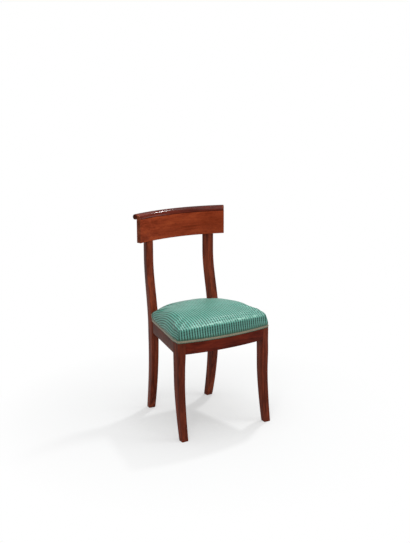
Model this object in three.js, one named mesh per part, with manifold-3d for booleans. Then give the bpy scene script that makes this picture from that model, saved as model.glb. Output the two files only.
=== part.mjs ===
// Klismos dining chair: front legs that sweep forward, back posts that sweep out at the foot and
// rake back above the seat, a curved crest tablet with a rolled top edge, and a fixed stuffed seat.
// Millimetres, +Z up. The front faces -Y, and +X is on the right seen from the front.
// Plan distances are measured back from the front corners of the seat frame.

import * as THREE from 'three';
import { mergeVertices } from 'three/addons/utils/BufferGeometryUtils.js';
import Module from 'manifold-3d';

const wasm = await Module();
wasm.setup();

// Clearances and overruns
const seatGap = 0.3;
const overrun = 6;

// Seat frame: rails round a plan with a bowed front and sides that close in to the back
const railTop = 408;
const railHeight = 55;
const railThickness = 22;
const halfFront = 209.75;
const frontBow = 24;
const postSetback = 328;
const rebateDepth = 2;
const rebateHeight = 9;

// Front legs
const frontLegWidth = 30;
const frontFootWidth = 27.5;
const frontLegDepth = 45;
const frontFootDepth = 26;
const frontSweep = 31;
const frontSweepDrop = 120;
const frontSweepPower = 1.55;
const frontTaperPower = 0.8;
const blockBlend = 60;
const arris = 1.2;

// Back posts
const postWidth = 30;
const postTopWidth = 30;
const postFootWidth = 27.5;
const postDepth = 43;
const postTopDepth = 38;
const postFootDepth = 25;
const postHalfSpan = 146;
const postTurn = THREE.MathUtils.degToRad(5);
const postTopTurn = THREE.MathUtils.degToRad(10);
const postTaperPower = 0.6;
const footSweep = 38;
const footSweepDrop = 50;
const footSweepPower = 1.9;
const backRake = 39.8;
const rakeStartDrop = 38;
const rakeEndDrop = 72;

// Crest tablet, its rolled top edge and the laps of the posts behind it
const crestBottom = 732;
const crestHeight = 117.5;
const crestThickness = 20;
const crestHalfChord = 198;
const crestSagitta = 37;
const crestProud = 4;
const creaseDrop = 20.5;
const creaseDepth = 0.9;
const creaseWidth = 2.2;
const browDrop = 1.8;
const rollRadius = 11;
const rollSetback = 27;
const rollProud = 3;
const lapDrop = 40.5;
const lapChamfer = 9;

// Tenons and pegs
const tenonThickness = 9;
const tenonHeight = 40;
const sideTenonLength = 20;
const frontTenonLength = 18;
const rearTenonLength = 16;
const pegRadius = 3.5;
const pegLength = 26;
const pegRise = 22;
const pegSpacing = 34;

// Corner blocks and their countersunk screws
const blockReach = 42;
const blockHeight = 30;
const blockDrop = 10;
const blockRunOnShare = 0.3;
const railScrewShare = 0.3;
const sideScrewShare = 0.7;
const screwRadius = 2.2;
const screwHeadRadius = 4.2;
const screwHeadHeight = 2.6;
const screwTipLength = 5;
const screwLength = 26;
const screwSink = 5;

// Webbing and hessian
const webWidth = 50;
const webThickness = 1.2;
const webPitch = 92;
const webInset = 6;
const hessianThickness = 0.8;
const hessianInset = 8;

// Cover and pad
const coverThickness = 1.5;
const coverBulge = 2.5;
const frontWallHeight = 41;
const sideWallHeight = 28;
const frontShoulderInset = 10;
const sideShoulderInset = 27;
const shoulderHeight = 49;
const seatHeight = 71;
const crownPower = 3;
const frontArch = 5;
const sideArch = 19;
const rearArch = 6;
const archPower = 0.8;
const sideBlend = 110;
const frontArchBlend = 60;
const sideArchStart = 10;
const rearArchStart = 20;
const postDip = 23;
const postDipReach = 95;
const postEdgeReach = 70;
const crownShares = [0.9, 0.74, 0.5, 0.2];
const hemCorner = 4;
const coverCorner = 12;

// Gimp: the braid over the hem, with a short length turned up against each back post
const gimpLift = 2.7;
const gimpHeight = 7.8;
const gimpThickness = 1.4;
const turnUpHeight = 26;
const turnUpWidth = 7;

// Numbers of facets
const bowSteps = 8;
const cornerSteps = 3;
const sideSteps = 5;
const rearSteps = 4;
const wallSteps = 4;
const shoulderSteps = 3;
const sweepSteps = 12;
const blendSteps = 3;
const straightSteps = 2;
const rakeSteps = 14;
const lapSteps = 4;
const notchSteps = 6;
const crestSteps = 26;
const browSteps = 5;
const rollSides = 18;
const roundSides = 12;

// Heights worked out from the sizes
const railBottom = railTop - railHeight;
const rebateBottom = railTop - rebateHeight;
const frontSweepHeight = railBottom - frontSweepDrop;
const footSweepHeight = railBottom - footSweepDrop;
const rakeStart = railTop - rakeStartDrop;
const rakeEnd = crestBottom - rakeEndDrop;
const lapTop = crestBottom + crestHeight - lapDrop;
const blockTop = railTop - blockDrop;
const blockMiddle = blockTop - blockHeight / 2;
const shoulderTop = railTop + shoulderHeight;
const seatTop = railTop + seatHeight;
const hemBottom = rebateBottom + seatGap;
const gimpBottom = hemBottom + gimpLift;
const gimpTop = gimpBottom + gimpHeight;
const tenonBottom = railBottom + (railHeight - tenonHeight) / 2;

// Plan places worked out from the sizes
const frontBowRadius = (halfFront * halfFront + frontBow * frontBow) / (2 * frontBow);
const frontLegX = halfFront - frontLegWidth / 2;
const frontLegInnerX = halfFront - frontLegWidth;
const frontLegBackY = bowY(frontLegX) + frontLegDepth;
const postFrontY = postSetback - postDepth / 2;
const postOuterX = postHalfSpan + postWidth / 2;
const postInnerX = postHalfSpan - postWidth / 2;
const sideSlope = (halfFront - postOuterX) / (postFrontY - frontLegBackY);
const sideTurn = Math.atan(sideSlope);
const rearFaceY = postSetback + postDepth / 2 - rebateDepth;
const rearRailFrontY = rearFaceY - railThickness;
const seatMiddleY = (rearFaceY - frontBow) / 2;
const hemInset = rebateDepth - seatGap - coverThickness;
const coverClearance = 2 * seatGap;

// The bowed front face, or a face parallel to it that lies further out
function bowY(x, out = 0) {
  const radius = frontBowRadius + out;
  return frontBowRadius - frontBow - Math.sqrt(radius * radius - x * x);
}

// The line of the side rail's outer face, carried on past both its ends
function sideLine(y) {
  return halfFront - (y - frontLegBackY) * sideSlope;
}

function spaced(from, to, count) {
  return Array.from({ length: count + 1 }, (_, step) => from + ((to - from) * step) / count);
}

// A closed body from rings of points with one count, capped at both ends by the section's triangles
function skin(rings, section) {
  const count = section.length;
  const positions = rings.flat().flatMap((point) => [point.x, point.y, point.z]);
  const index = [];
  for (let ring = 0; ring < rings.length - 1; ring += 1) {
    for (let side = 0; side < count; side += 1) {
      const next = (side + 1) % count;
      const a = ring * count + side;
      const b = ring * count + next;
      index.push(a, b, b + count, a, b + count, a + count);
    }
  }
  const last = (rings.length - 1) * count;
  for (const [a, b, c] of THREE.ShapeUtils.triangulateShape(section, [])) {
    index.push(a, c, b, last + a, last + b, last + c);
  }
  const geometry = new THREE.BufferGeometry();
  geometry.setAttribute('position', new THREE.Float32BufferAttribute(positions, 3));
  geometry.setIndex(index);
  return geometry;
}

// Rings stacked upward, each counterclockwise seen from above
function stack(rings) {
  return skin(rings, rings[0].map((point) => new THREE.Vector2(point.x, point.y)));
}

// A solid for joining and cutting, from a closed geometry
function solidOf(geometry) {
  const plain = geometry.clone();
  plain.deleteAttribute('normal');
  plain.deleteAttribute('uv');
  const merged = mergeVertices(plain);
  return new wasm.Manifold(new wasm.Mesh({
    numProp: 3,
    vertProperties: new Float32Array(merged.attributes.position.array),
    triVerts: new Uint32Array(merged.index.array),
  }));
}

function geometryOf(solid) {
  const mesh = solid.getMesh();
  const geometry = new THREE.BufferGeometry();
  geometry.setAttribute('position', new THREE.Float32BufferAttribute(mesh.vertProperties, 3));
  geometry.setIndex(new THREE.Uint32BufferAttribute(mesh.triVerts, 1));
  return geometry;
}

// The same form on the other side of the chair, with its triangles turned to face out again
function mirrored(geometry) {
  const copy = geometry.index ? geometry.clone() : mergeVertices(geometry);
  copy.scale(-1, 1, 1);
  const index = copy.index.array;
  for (let corner = 0; corner < index.length; corner += 3) {
    [index[corner], index[corner + 1]] = [index[corner + 1], index[corner]];
  }
  return copy;
}

function bothSides(geometry) {
  return [solidOf(geometry), solidOf(mirrored(geometry))];
}

function cut(body, ...cutters) {
  return cutters.flat(Infinity).reduce((solid, cutter) => solid.subtract(cutter), body);
}

function join(...bodies) {
  return bodies.flat().reduce((solid, body) => solid.add(body));
}

function prism(outline, bottom, top) {
  const geometry = new THREE.ExtrudeGeometry(new THREE.Shape(outline), {
    depth: top - bottom,
    bevelEnabled: false,
  });
  geometry.translate(0, 0, bottom);
  return geometry;
}

function boxBetween(low, high) {
  const size = new THREE.Vector3().subVectors(high, low);
  const middle = new THREE.Vector3().addVectors(low, high).divideScalar(2);
  const geometry = new THREE.BoxGeometry(size.x, size.y, size.z);
  geometry.translate(middle.x, middle.y, middle.z);
  return geometry;
}

// Turns a form made along +Y to start at a point and run in a direction
function aim(geometry, start, direction) {
  const upright = new THREE.Vector3(0, 1, 0);
  geometry.applyQuaternion(new THREE.Quaternion().setFromUnitVectors(upright, direction));
  geometry.translate(start.x, start.y, start.z);
  return geometry;
}

// A rectangle with its arrises taken off, turned about its centre, as one ring of a leg
function legRing(centre, z, reach, turn = 0, slant = 0) {
  const corners = [
    [reach.outer, -reach.front + slant * reach.outer, [-arris, 0], [0, arris]],
    [reach.outer, reach.back, [0, -arris], [-arris, 0]],
    [-reach.inner, reach.back, [arris, 0], [0, -arris]],
    [-reach.inner, -reach.front - slant * reach.inner, [0, arris], [arris, 0]],
  ];
  const ring = corners.flatMap(([x, y, ...steps]) => steps.map(([stepX, stepY]) => [x + stepX, y + stepY]));
  return ring.map(([x, y]) => new THREE.Vector3(
    centre.x + x * Math.cos(turn) - y * Math.sin(turn),
    centre.y + x * Math.sin(turn) + y * Math.cos(turn),
    z,
  ));
}

function legTaper(z, foot, seat, power) {
  return THREE.MathUtils.lerp(foot, seat, Math.min(1, z / railBottom) ** power);
}

// Front leg: a square block at the seat, its face turned to the bow, then swept forward to the foot
function frontLegY(z) {
  const drop = Math.max(0, frontSweepHeight - z) / frontSweepHeight;
  return frontLegBackY - frontLegDepth / 2 - frontSweep * drop ** frontSweepPower;
}

function frontLegBody(grow = 0) {
  const heights = [
    ...spaced(0, frontSweepHeight, sweepSteps),
    ...spaced(frontSweepHeight, railBottom - blockBlend, straightSteps).slice(1),
    ...spaced(railBottom - blockBlend, railBottom, blendSteps).slice(1),
    railTop,
  ];
  const bowSlant = Math.tan(Math.asin(frontLegX / frontBowRadius));
  return stack(heights.map((z) => {
    const depth = legTaper(z, frontFootDepth, frontLegDepth, frontTaperPower) / 2 + grow;
    const width = legTaper(z, frontFootWidth, frontLegWidth, frontTaperPower) / 2 + grow;
    const slant = bowSlant * THREE.MathUtils.smoothstep(z, railBottom - blockBlend, railBottom);
    const reach = { front: depth, back: depth, inner: width, outer: width };
    return legRing({ x: frontLegX, y: frontLegY(z) }, z, reach, 0, slant);
  }));
}

// Back post: one curved member from the foot, past the seat, to the lap behind the crest
function postY(z) {
  const drop = Math.max(0, footSweepHeight - z) / footSweepHeight;
  const rake = backRake * THREE.MathUtils.smoothstep(z, rakeStart, rakeEnd);
  return postSetback + footSweep * drop ** footSweepPower + rake;
}

function postX(z) {
  return postHalfSpan - (postY(z) - postSetback) * Math.tan(postTurn);
}

function postSize(z) {
  const rise = THREE.MathUtils.smoothstep(z, railTop, rakeEnd);
  return {
    depth: legTaper(z, postFootDepth, postDepth, postTaperPower) + (postTopDepth - postDepth) * rise,
    width: legTaper(z, postFootWidth, postWidth, postTaperPower) + (postTopWidth - postWidth) * rise,
    turn: THREE.MathUtils.lerp(postTurn, postTopTurn, rise),
  };
}

function postStack(heights, { front = 0, inner = 0, away = 0 } = {}) {
  return stack(heights.map((z) => {
    const { depth, width, turn } = postSize(z);
    const reach = {
      front: depth / 2 + front,
      back: depth / 2 + away,
      inner: width / 2 + inner,
      outer: width / 2 + away,
    };
    return legRing({ x: postX(z), y: postY(z) }, z, reach, turn);
  }));
}

function postBody(grow = 0) {
  const heights = [
    ...spaced(0, footSweepHeight, sweepSteps),
    ...spaced(footSweepHeight, rakeStart, straightSteps).slice(1),
    ...spaced(rakeStart, rakeEnd, rakeSteps).slice(1),
    ...spaced(rakeEnd, lapTop, lapSteps).slice(1),
  ];
  return postStack(heights, { front: grow, inner: grow, away: grow });
}

// A point on a face of the post, by its shares of the half width outward and the half depth back
function postPoint(z, outShare, backShare) {
  const { depth, width, turn } = postSize(z);
  const x = (outShare * width) / 2;
  const y = (backShare * depth) / 2;
  return new THREE.Vector3(
    postX(z) + x * Math.cos(turn) - y * Math.sin(turn),
    postY(z) + x * Math.sin(turn) + y * Math.cos(turn),
    z,
  );
}

// What the side rail leaves free for the post, carried on past the corner of the seat frame
function postCorner() {
  const heights = spaced(railBottom - overrun, railTop + overrun, notchSteps);
  return bothSides(postStack(heights, { front: seatGap, inner: postWidth, away: postWidth }));
}

// What the seat's soft layers leave free for the post, carried on past the seat's corner
function postNotch(clearance) {
  const bottom = rebateBottom - overrun;
  const top = seatTop + overrun;
  const away = postWidth;
  return bothSides(postStack(spaced(bottom, top, notchSteps), { front: clearance, inner: clearance, away }));
}

// The bevel at the back of the lap's top edge
function lapBevel() {
  const back = postPoint(lapTop, 0, 1).y + overrun;
  const depth = lapChamfer + overrun;
  const profile = new THREE.Shape([
    new THREE.Vector2(back, lapTop - lapChamfer - overrun),
    new THREE.Vector2(back, lapTop + overrun),
    new THREE.Vector2(back - depth - overrun, lapTop + overrun),
  ]);
  const geometry = new THREE.ExtrudeGeometry(profile, { depth: 2 * postWidth, bevelEnabled: false });
  geometry.applyMatrix4(new THREE.Matrix4().makeBasis(
    new THREE.Vector3(0, 1, 0),
    new THREE.Vector3(0, 0, 1),
    new THREE.Vector3(1, 0, 0),
  ));
  geometry.translate(postHalfSpan - postWidth, 0, 0);
  return geometry;
}

// Half the seat's outline, from the middle of the front to the rear end of the right side
function halfPath({ out, corner, backY }) {
  const tip = new THREE.Vector2(halfFront + out, bowY(halfFront + out, out));
  const bow = spaced(0, tip.x - corner, bowSteps).map((x) => new THREE.Vector2(x, bowY(x, out)));
  const sideStart = new THREE.Vector2(tip.x, tip.y + corner);
  const bend = new THREE.QuadraticBezierCurve(bow.at(-1), tip, sideStart);
  const side = spaced(frontLegBackY, backY, sideSteps).map((y) => new THREE.Vector2(sideLine(y) + out, y));
  return [...bow, ...bend.getPoints(cornerSteps).slice(1), ...side];
}

// The outline from the left side's rear end, round the front, to the right side's rear end
function seatPath(options) {
  const half = halfPath(options);
  const left = half.slice(1).reverse().map((point) => new THREE.Vector2(-point.x, point.y));
  return [...left, ...half];
}

function seatOutline(out, corner = hemCorner) {
  const path = seatPath({ out, corner, backY: rearFaceY + out });
  const end = path.at(-1);
  const rear = spaced(end.x, -end.x, rearSteps).slice(1, -1);
  return [...path, ...rear.map((x) => new THREE.Vector2(x, end.y))];
}

// The band of wood taken off the frame's top outside edge for the cover's hem
function rebateBand() {
  const slab = boxBetween(
    new THREE.Vector3(-halfFront - overrun, -frontBow - overrun, rebateBottom),
    new THREE.Vector3(halfFront + overrun, rearFaceY + overrun, railTop + overrun),
  );
  const kept = prism(seatOutline(-rebateDepth), rebateBottom - overrun, railTop + 2 * overrun);
  return cut(solidOf(slab), solidOf(kept));
}

// Front rail: bowed, with a straight tenon at each end
function bowedBand(outerOut, innerOut, reach) {
  const across = spaced(-reach, reach, 2 * bowSteps);
  const outer = across.map((x) => new THREE.Vector2(x, bowY(x, outerOut)));
  const inner = across.map((x) => new THREE.Vector2(x, bowY(x, innerOut)));
  return [...outer, ...inner.reverse()];
}

function frontTenon(grow = 0) {
  const middleY = bowY(frontLegX, -railThickness / 2);
  return boxBetween(
    new THREE.Vector3(frontLegInnerX - overrun, middleY - tenonThickness / 2 - grow, tenonBottom - grow),
    new THREE.Vector3(
      frontLegInnerX + frontTenonLength + grow,
      middleY + tenonThickness / 2 + grow,
      tenonBottom + tenonHeight + grow,
    ),
  );
}

function frontRail(cutters) {
  const body = solidOf(prism(bowedBand(0, -railThickness, frontLegX), railBottom, railTop));
  return join(cut(body, cutters), bothSides(frontTenon()));
}

// Side rail: straight, closing in to the back, with a tenon into the leg and one into the post
function sideStrip(start, end, outer, inner) {
  const at = (y, depth) => new THREE.Vector2(sideLine(y) - depth / Math.cos(sideTurn), y);
  return [at(start, outer), at(end, outer), at(end, inner), at(start, inner)];
}

function sideTenons(grow = 0) {
  const outline = sideStrip(
    frontLegBackY - sideTenonLength - grow,
    postFrontY + sideTenonLength + grow,
    (railThickness - tenonThickness) / 2 - grow,
    (railThickness + tenonThickness) / 2 + grow,
  );
  return prism(outline, tenonBottom - grow, tenonBottom + tenonHeight + grow);
}

function sideRail(cutters) {
  const outline = sideStrip(frontLegBackY + seatGap, postSetback, 0, railThickness);
  return join(cut(solidOf(prism(outline, railBottom, railTop)), cutters), solidOf(sideTenons()));
}

// Rear rail: straight between the posts, its back face set in for the hem
function rearTenon(grow = 0) {
  const middleY = rearFaceY - railThickness / 2;
  return boxBetween(
    new THREE.Vector3(postInnerX - overrun, middleY - tenonThickness / 2 - grow, tenonBottom - grow),
    new THREE.Vector3(
      postInnerX + rearTenonLength + grow,
      middleY + tenonThickness / 2 + grow,
      tenonBottom + tenonHeight + grow,
    ),
  );
}

function rearRail(cutters) {
  const body = boxBetween(
    new THREE.Vector3(-postHalfSpan, rearRailFrontY, railBottom),
    new THREE.Vector3(postHalfSpan, rearFaceY, railTop),
  );
  return join(cut(solidOf(body), cutters), bothSides(rearTenon()));
}

// Crest: the tablet's section swept round the arc of the back, its ends cut on the radius
const crestRadius = (crestHalfChord * crestHalfChord + crestSagitta * crestSagitta) / (2 * crestSagitta);
const crestHalfAngle = Math.asin(crestHalfChord / crestRadius);
const crestFaceAtPost = postY(crestBottom) - postTopDepth / 2 - crestProud;
const crestCentreY = crestFaceAtPost - Math.sqrt(crestRadius * crestRadius - postX(crestBottom) ** 2);

function aroundCrest(section, halfAngle) {
  const rings = spaced(halfAngle, -halfAngle, crestSteps).map((angle) => section.map((point) => {
    const radius = crestRadius + point.x;
    return new THREE.Vector3(
      -radius * Math.sin(angle),
      crestCentreY + radius * Math.cos(angle),
      crestBottom + point.y,
    );
  }));
  return skin(rings, section);
}

function crestBoard() {
  const crease = crestHeight - creaseDrop;
  const rollMiddle = crestHeight - rollRadius;
  const shape = new THREE.Shape();
  shape.moveTo(0, 0);
  shape.lineTo(crestThickness, 0);
  shape.lineTo(crestThickness, crestHeight - browDrop);
  shape.lineTo(rollSetback - rollRadius, crestHeight - browDrop);
  shape.quadraticCurveTo(rollRadius / 2, rollMiddle + rollRadius / 2, creaseDepth / 2, crease + creaseWidth);
  shape.lineTo(creaseDepth, crease + creaseWidth / 2);
  shape.lineTo(0, crease);
  return aroundCrest(shape.getPoints(browSteps), crestHalfAngle);
}

// What the crest takes from the posts: its own thickness and all that would stand in front of it
function lapSpace() {
  const back = crestThickness + seatGap;
  return aroundCrest([
    new THREE.Vector2(-postDepth, -seatGap),
    new THREE.Vector2(back, -seatGap),
    new THREE.Vector2(back, crestHeight),
    new THREE.Vector2(-postDepth, crestHeight),
  ], crestHalfAngle);
}

function crestRoll(grow = 0, runOn = 0) {
  const section = spaced(0, 2 * Math.PI, rollSides).slice(1).map((angle) => new THREE.Vector2(
    rollSetback + (rollRadius + grow) * Math.cos(angle),
    crestHeight - rollRadius + (rollRadius + grow) * Math.sin(angle),
  ));
  return aroundCrest(section, crestHalfAngle + (rollProud + runOn) / (crestRadius + rollSetback));
}

// A peg through the lap of the post into the crest, its end flush with the back of the post
function crestPeg(z, grow = 0) {
  const length = pegLength + 2 * grow;
  const forward = new THREE.Vector3(Math.sin(postTopTurn), -Math.cos(postTopTurn), 0);
  const peg = new THREE.CylinderGeometry(pegRadius + grow, pegRadius + grow, length, roundSides);
  peg.translate(0, length / 2 - grow, 0);
  return aim(peg, postPoint(z, 0, 1), forward);
}

// The space inside the rails, a clearance away from them
function seatWell() {
  const back = rearRailFrontY - seatGap;
  const innerX = (y) => sideLine(y) - (railThickness + seatGap) / Math.cos(sideTurn);
  const behindBow = prism([
    ...spaced(-halfFront, halfFront, 2 * bowSteps).map((x) => new THREE.Vector2(
      x,
      bowY(x, -railThickness - seatGap),
    )),
    new THREE.Vector2(halfFront, back),
    new THREE.Vector2(-halfFront, back),
  ], railBottom, railTop);
  const betweenSides = prism([
    new THREE.Vector2(innerX(-frontBow), -frontBow),
    new THREE.Vector2(innerX(rearFaceY), rearFaceY),
    new THREE.Vector2(-innerX(rearFaceY), rearFaceY),
    new THREE.Vector2(-innerX(-frontBow), -frontBow),
  ], railBottom, railTop);
  return solidOf(behindBow).intersect(solidOf(betweenSides));
}

// Where a corner block's slanting face runs, from the front or rear rail to the side rail
function blockFace(atFront) {
  const railX = (atFront ? frontLegInnerX : postInnerX) - blockReach;
  const railY = atFront ? bowY(railX, -railThickness) : rearRailFrontY;
  const sideY = atFront ? frontLegBackY + blockReach : postFrontY - blockReach;
  return {
    onRail: new THREE.Vector2(railX, railY),
    onSide: new THREE.Vector2(sideLine(sideY) - railThickness, sideY),
  };
}

function cornerBlock(atFront, well, cutters) {
  const { onRail, onSide } = blockFace(atFront);
  const run = new THREE.Vector2().subVectors(onSide, onRail).multiplyScalar(blockRunOnShare);
  const apex = new THREE.Vector2(halfFront, atFront ? -frontBow : rearFaceY);
  const outline = [onRail.clone().sub(run), onSide.clone().add(run), apex];
  const block = solidOf(prism(outline, blockTop - blockHeight, blockTop)).intersect(well);
  return cut(block, cutters);
}

// A countersunk wood screw, sunk below the block's slanting face and square to its rail
function blockScrew(atFront, intoSide, grow = 0, runBack = 0) {
  const { onRail, onSide } = blockFace(atFront);
  const share = intoSide ? sideScrewShare : railScrewShare;
  const start = new THREE.Vector2().lerpVectors(onRail, onSide, share);
  const direction = intoSide
    ? new THREE.Vector3(Math.cos(sideTurn), Math.sin(sideTurn), 0)
    : new THREE.Vector3(0, atFront ? -1 : 1, 0);
  const profile = [
    new THREE.Vector2(0, -runBack),
    new THREE.Vector2(screwHeadRadius + grow, -runBack),
    new THREE.Vector2(screwHeadRadius + grow, grow),
    new THREE.Vector2(screwRadius + grow, screwHeadHeight + grow),
    new THREE.Vector2(screwRadius + grow, screwLength - screwTipLength + grow),
    new THREE.Vector2(0, screwLength + grow),
  ];
  const sharp = profile.filter((point, place) => place === 0 || point.distanceTo(profile[place - 1]) > 0);
  const head = new THREE.Vector3(start.x, start.y, blockMiddle).addScaledVector(direction, screwSink);
  return aim(new THREE.LatheGeometry(sharp, roundSides), head, direction);
}

// Webbing: straps that pass over and under each other and end flat on the rails
function strapProfile(stops, crossings, overFirst) {
  const lift = (webThickness + seatGap) / 2;
  const base = railTop + seatGap;
  const half = webWidth / 2 + seatGap;
  const course = [[stops.start, base], [stops.firstRail, base]];
  crossings.forEach((place, number) => {
    const level = (number % 2 === 0) === overFirst ? base + lift : base - lift;
    course.push([place - half, level], [place + half, level]);
  });
  course.push([stops.lastRail, base], [stops.end, base]);
  const under = course.map(([along, z]) => new THREE.Vector2(along, z));
  const over = course.map(([along, z]) => new THREE.Vector2(along, z + webThickness)).reverse();
  return new THREE.Shape([...under, ...over]);
}

function strap(profile, along, across, middle) {
  const geometry = new THREE.ExtrudeGeometry(profile, { depth: webWidth, bevelEnabled: false });
  geometry.translate(0, 0, -webWidth / 2);
  geometry.applyMatrix4(new THREE.Matrix4().makeBasis(along, new THREE.Vector3(0, 0, 1), across));
  geometry.translate(middle.x, middle.y, 0);
  return geometry;
}

const crossPlaces = [-webPitch, 0, webPitch];
const webMiddleY = (bowY(0, -railThickness) + rearRailFrontY) / 2;

function lengthwiseStrap(number) {
  const x = crossPlaces[number];
  const edge = Math.abs(x) + webWidth / 2;
  const stops = {
    start: bowY(edge) + webInset,
    firstRail: bowY(x, -railThickness),
    lastRail: rearRailFrontY,
    end: rearFaceY - webInset,
  };
  const crossings = crossPlaces.map((place) => webMiddleY + place);
  const profile = strapProfile(stops, crossings, number % 2 === 0);
  const back = new THREE.Vector3(0, 1, 0);
  return strap(profile, back, new THREE.Vector3(1, 0, 0), new THREE.Vector2(x, 0));
}

function crosswiseStrap(number) {
  const y = webMiddleY + crossPlaces[number];
  const railFace = sideLine(y + webWidth / 2);
  const end = railFace - webInset;
  const rail = railFace - railThickness;
  const stops = { start: -end, firstRail: -rail, lastRail: rail, end };
  const profile = strapProfile(stops, crossPlaces, number % 2 === 1);
  const right = new THREE.Vector3(1, 0, 0);
  return strap(profile, right, new THREE.Vector3(0, -1, 0), new THREE.Vector2(0, y));
}

// Hessian: a flat cloth over the webbing, cut round the posts
const hessianBottom = railTop + seatGap + (webThickness + seatGap) / 2 + webThickness + seatGap;
const padBottom = hessianBottom + hessianThickness + seatGap;

function hessianSheet(notches) {
  const outline = seatOutline(-hessianInset);
  return cut(solidOf(prism(outline, hessianBottom, hessianBottom + hessianThickness)), notches);
}

// How far the seat's wall stands out from the frame at a share of its height
function wallOut(rise) {
  return coverBulge * Math.sin(Math.PI * rise) - hemInset;
}

// How far the seat's top lies lower near the back posts, where the cover is drawn down round them
function dipAt(point, z) {
  const away = Math.hypot(Math.abs(point.x) - postOuterX, point.y - rearFaceY);
  const near = 1 - THREE.MathUtils.smoothstep(away, 0, postDipReach);
  return postDip * near * THREE.MathUtils.clamp((z - padBottom) / (shoulderTop - padBottom), 0, 1);
}

// The form of the seat's edge at a place on its outline: firm in front, fuller along the sides
function edgeForm({ x, y }) {
  const along = THREE.MathUtils.clamp(y / postFrontY, 0, 1);
  const across = (outer) => Math.cos((Math.min(1, Math.abs(x) / outer) * Math.PI) / 2);
  const nearPost = 1 - THREE.MathUtils.smoothstep(
    Math.hypot(Math.abs(x) - postOuterX, y - postFrontY),
    0,
    postEdgeReach,
  );
  const side = THREE.MathUtils.smoothstep(y, 0, sideBlend) * (1 - nearPost);
  const inFront = 1 - THREE.MathUtils.smoothstep(y, -frontBow, frontArchBlend);
  const atSide = THREE.MathUtils.smoothstep(y, -sideArchStart, frontArchBlend);
  const atRear = THREE.MathUtils.smoothstep(y, postFrontY - rearArchStart, rearFaceY);
  return {
    wallTop: railTop + THREE.MathUtils.lerp(frontWallHeight, sideWallHeight, side),
    inset: THREE.MathUtils.lerp(frontShoulderInset, sideShoulderInset, side),
    top: shoulderTop + frontArch * inFront * across(halfFront) ** archPower
      + sideArch * atSide * Math.sin(Math.PI * along) ** archPower + rearArch * atRear * across(postOuterX),
  };
}

// A point of the seat's form, lowered where it is near a back post
function seatPoint(plan, z) {
  return new THREE.Vector3(plan.x, plan.y, z - dipAt(plan, z));
}

// The seat's outer form, or one that lies a given distance inside it: wall, shoulder and crown
function seatForm(inside, low) {
  const middle = new THREE.Vector2(0, seatMiddleY);
  const forms = seatOutline(0, coverCorner).map(edgeForm);
  const wallBottom = Math.max(low, gimpTop);
  const edge = seatOutline(-hemInset - inside, hemCorner);
  const hem = low < gimpTop ? [edge.map((plan) => seatPoint(plan, low))] : [];
  const wall = spaced(0, 1, wallSteps).map((rise) => {
    const corner = THREE.MathUtils.lerp(hemCorner, coverCorner, rise);
    const outline = seatOutline(wallOut(rise) - inside, corner);
    return outline.map((plan, place) => (
      seatPoint(plan, THREE.MathUtils.lerp(wallBottom, forms[place].wallTop, rise))
    ));
  });
  const upperEdge = seatOutline(-hemInset - inside, coverCorner);
  const drawnIn = (plan, distance) => {
    const arm = plan.clone().sub(middle);
    return arm.setLength(arm.length() - distance).add(middle);
  };
  const angles = spaced(0, Math.PI / 2, shoulderSteps).slice(1);
  const shoulder = angles.map((angle) => upperEdge.map((plan, place) => {
    const { wallTop, inset, top } = forms[place];
    const z = wallTop + (top - inside - wallTop) * Math.sin(angle);
    return seatPoint(drawnIn(plan, inset * (1 - Math.cos(angle))), z);
  }));
  const crown = crownShares.map((share) => upperEdge.map((plan, place) => {
    const { inset, top } = forms[place];
    const arm = drawnIn(plan, inset).sub(middle);
    const round = arm.clone().setLength((halfFront + postOuterX) / 2);
    const z = top - inside + (seatTop - top) * (1 - share ** crownPower);
    return seatPoint(arm.lerp(round, 1 - share).multiplyScalar(share).add(middle), z);
  }));
  return solidOf(stack([...hem, ...wall, ...shoulder, ...crown]));
}

// The cover: a cloth shell, open below, turned in along the posts, its hem in the frame's rebate
function seatCover() {
  const outside = cut(seatForm(0, hemBottom), postNotch(coverClearance));
  const within = seatForm(coverThickness, hemBottom - overrun);
  const hollow = cut(within, postNotch(coverClearance + coverThickness));
  const frame = prism(seatOutline(seatGap / 2 - rebateDepth), hemBottom - overrun, railTop + seatGap);
  return cut(outside, hollow, solidOf(frame));
}

function horsehairPad(notches) {
  return cut(seatForm(coverThickness + coverClearance, padBottom), notches);
}

// Gimp round the sides and front, in one length
function gimpFront() {
  const backY = postPoint(hemBottom, 1, -1).y - coverClearance;
  const path = (out) => seatPath({ out, corner: hemCorner, backY });
  const outline = [...path(seatGap + gimpThickness), ...path(seatGap).reverse()];
  return prism(outline, gimpBottom, gimpTop);
}

function gimpTurnUp() {
  return stack(spaced(gimpTop + seatGap, railTop + turnUpHeight, wallSteps).map((z) => {
    const back = postPoint(z, 1, -1).y - coverClearance;
    const at = (y, out) => new THREE.Vector3(sideLine(y) + coverBulge + out, y, z);
    const outer = seatGap + gimpThickness;
    const front = back - turnUpWidth;
    return [at(front, seatGap), at(front, outer), at(back, outer), at(back, seatGap)];
  }));
}

function gimpRear() {
  const end = postPoint(hemBottom, -1, 1).x - coverClearance;
  return boxBetween(
    new THREE.Vector3(-end, rearFaceY + seatGap, gimpBottom),
    new THREE.Vector3(end, rearFaceY + seatGap + gimpThickness, gimpTop),
  );
}

// Materials
function finish(color, roughness, metalness = 0) {
  return new THREE.MeshStandardMaterial({ color, roughness, metalness });
}

const mahogany = finish(0x6b2a1c, 0.28);
const paleWood = finish(0xa9885c, 0.7);
const steel = finish(0x8b8b88, 0.4, 1);
const jute = finish(0xa98d5f, 0.95);
const burlap = finish(0x9c8259, 0.95);
const horsehair = finish(0x4a4038, 0.98);
const satinStripe = finish(0x6fae9a, 0.6);
const gimpBraid = finish(0x8a8f7c, 0.85);

const chair = new THREE.Group();
chair.name = 'klismos_chair';

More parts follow.
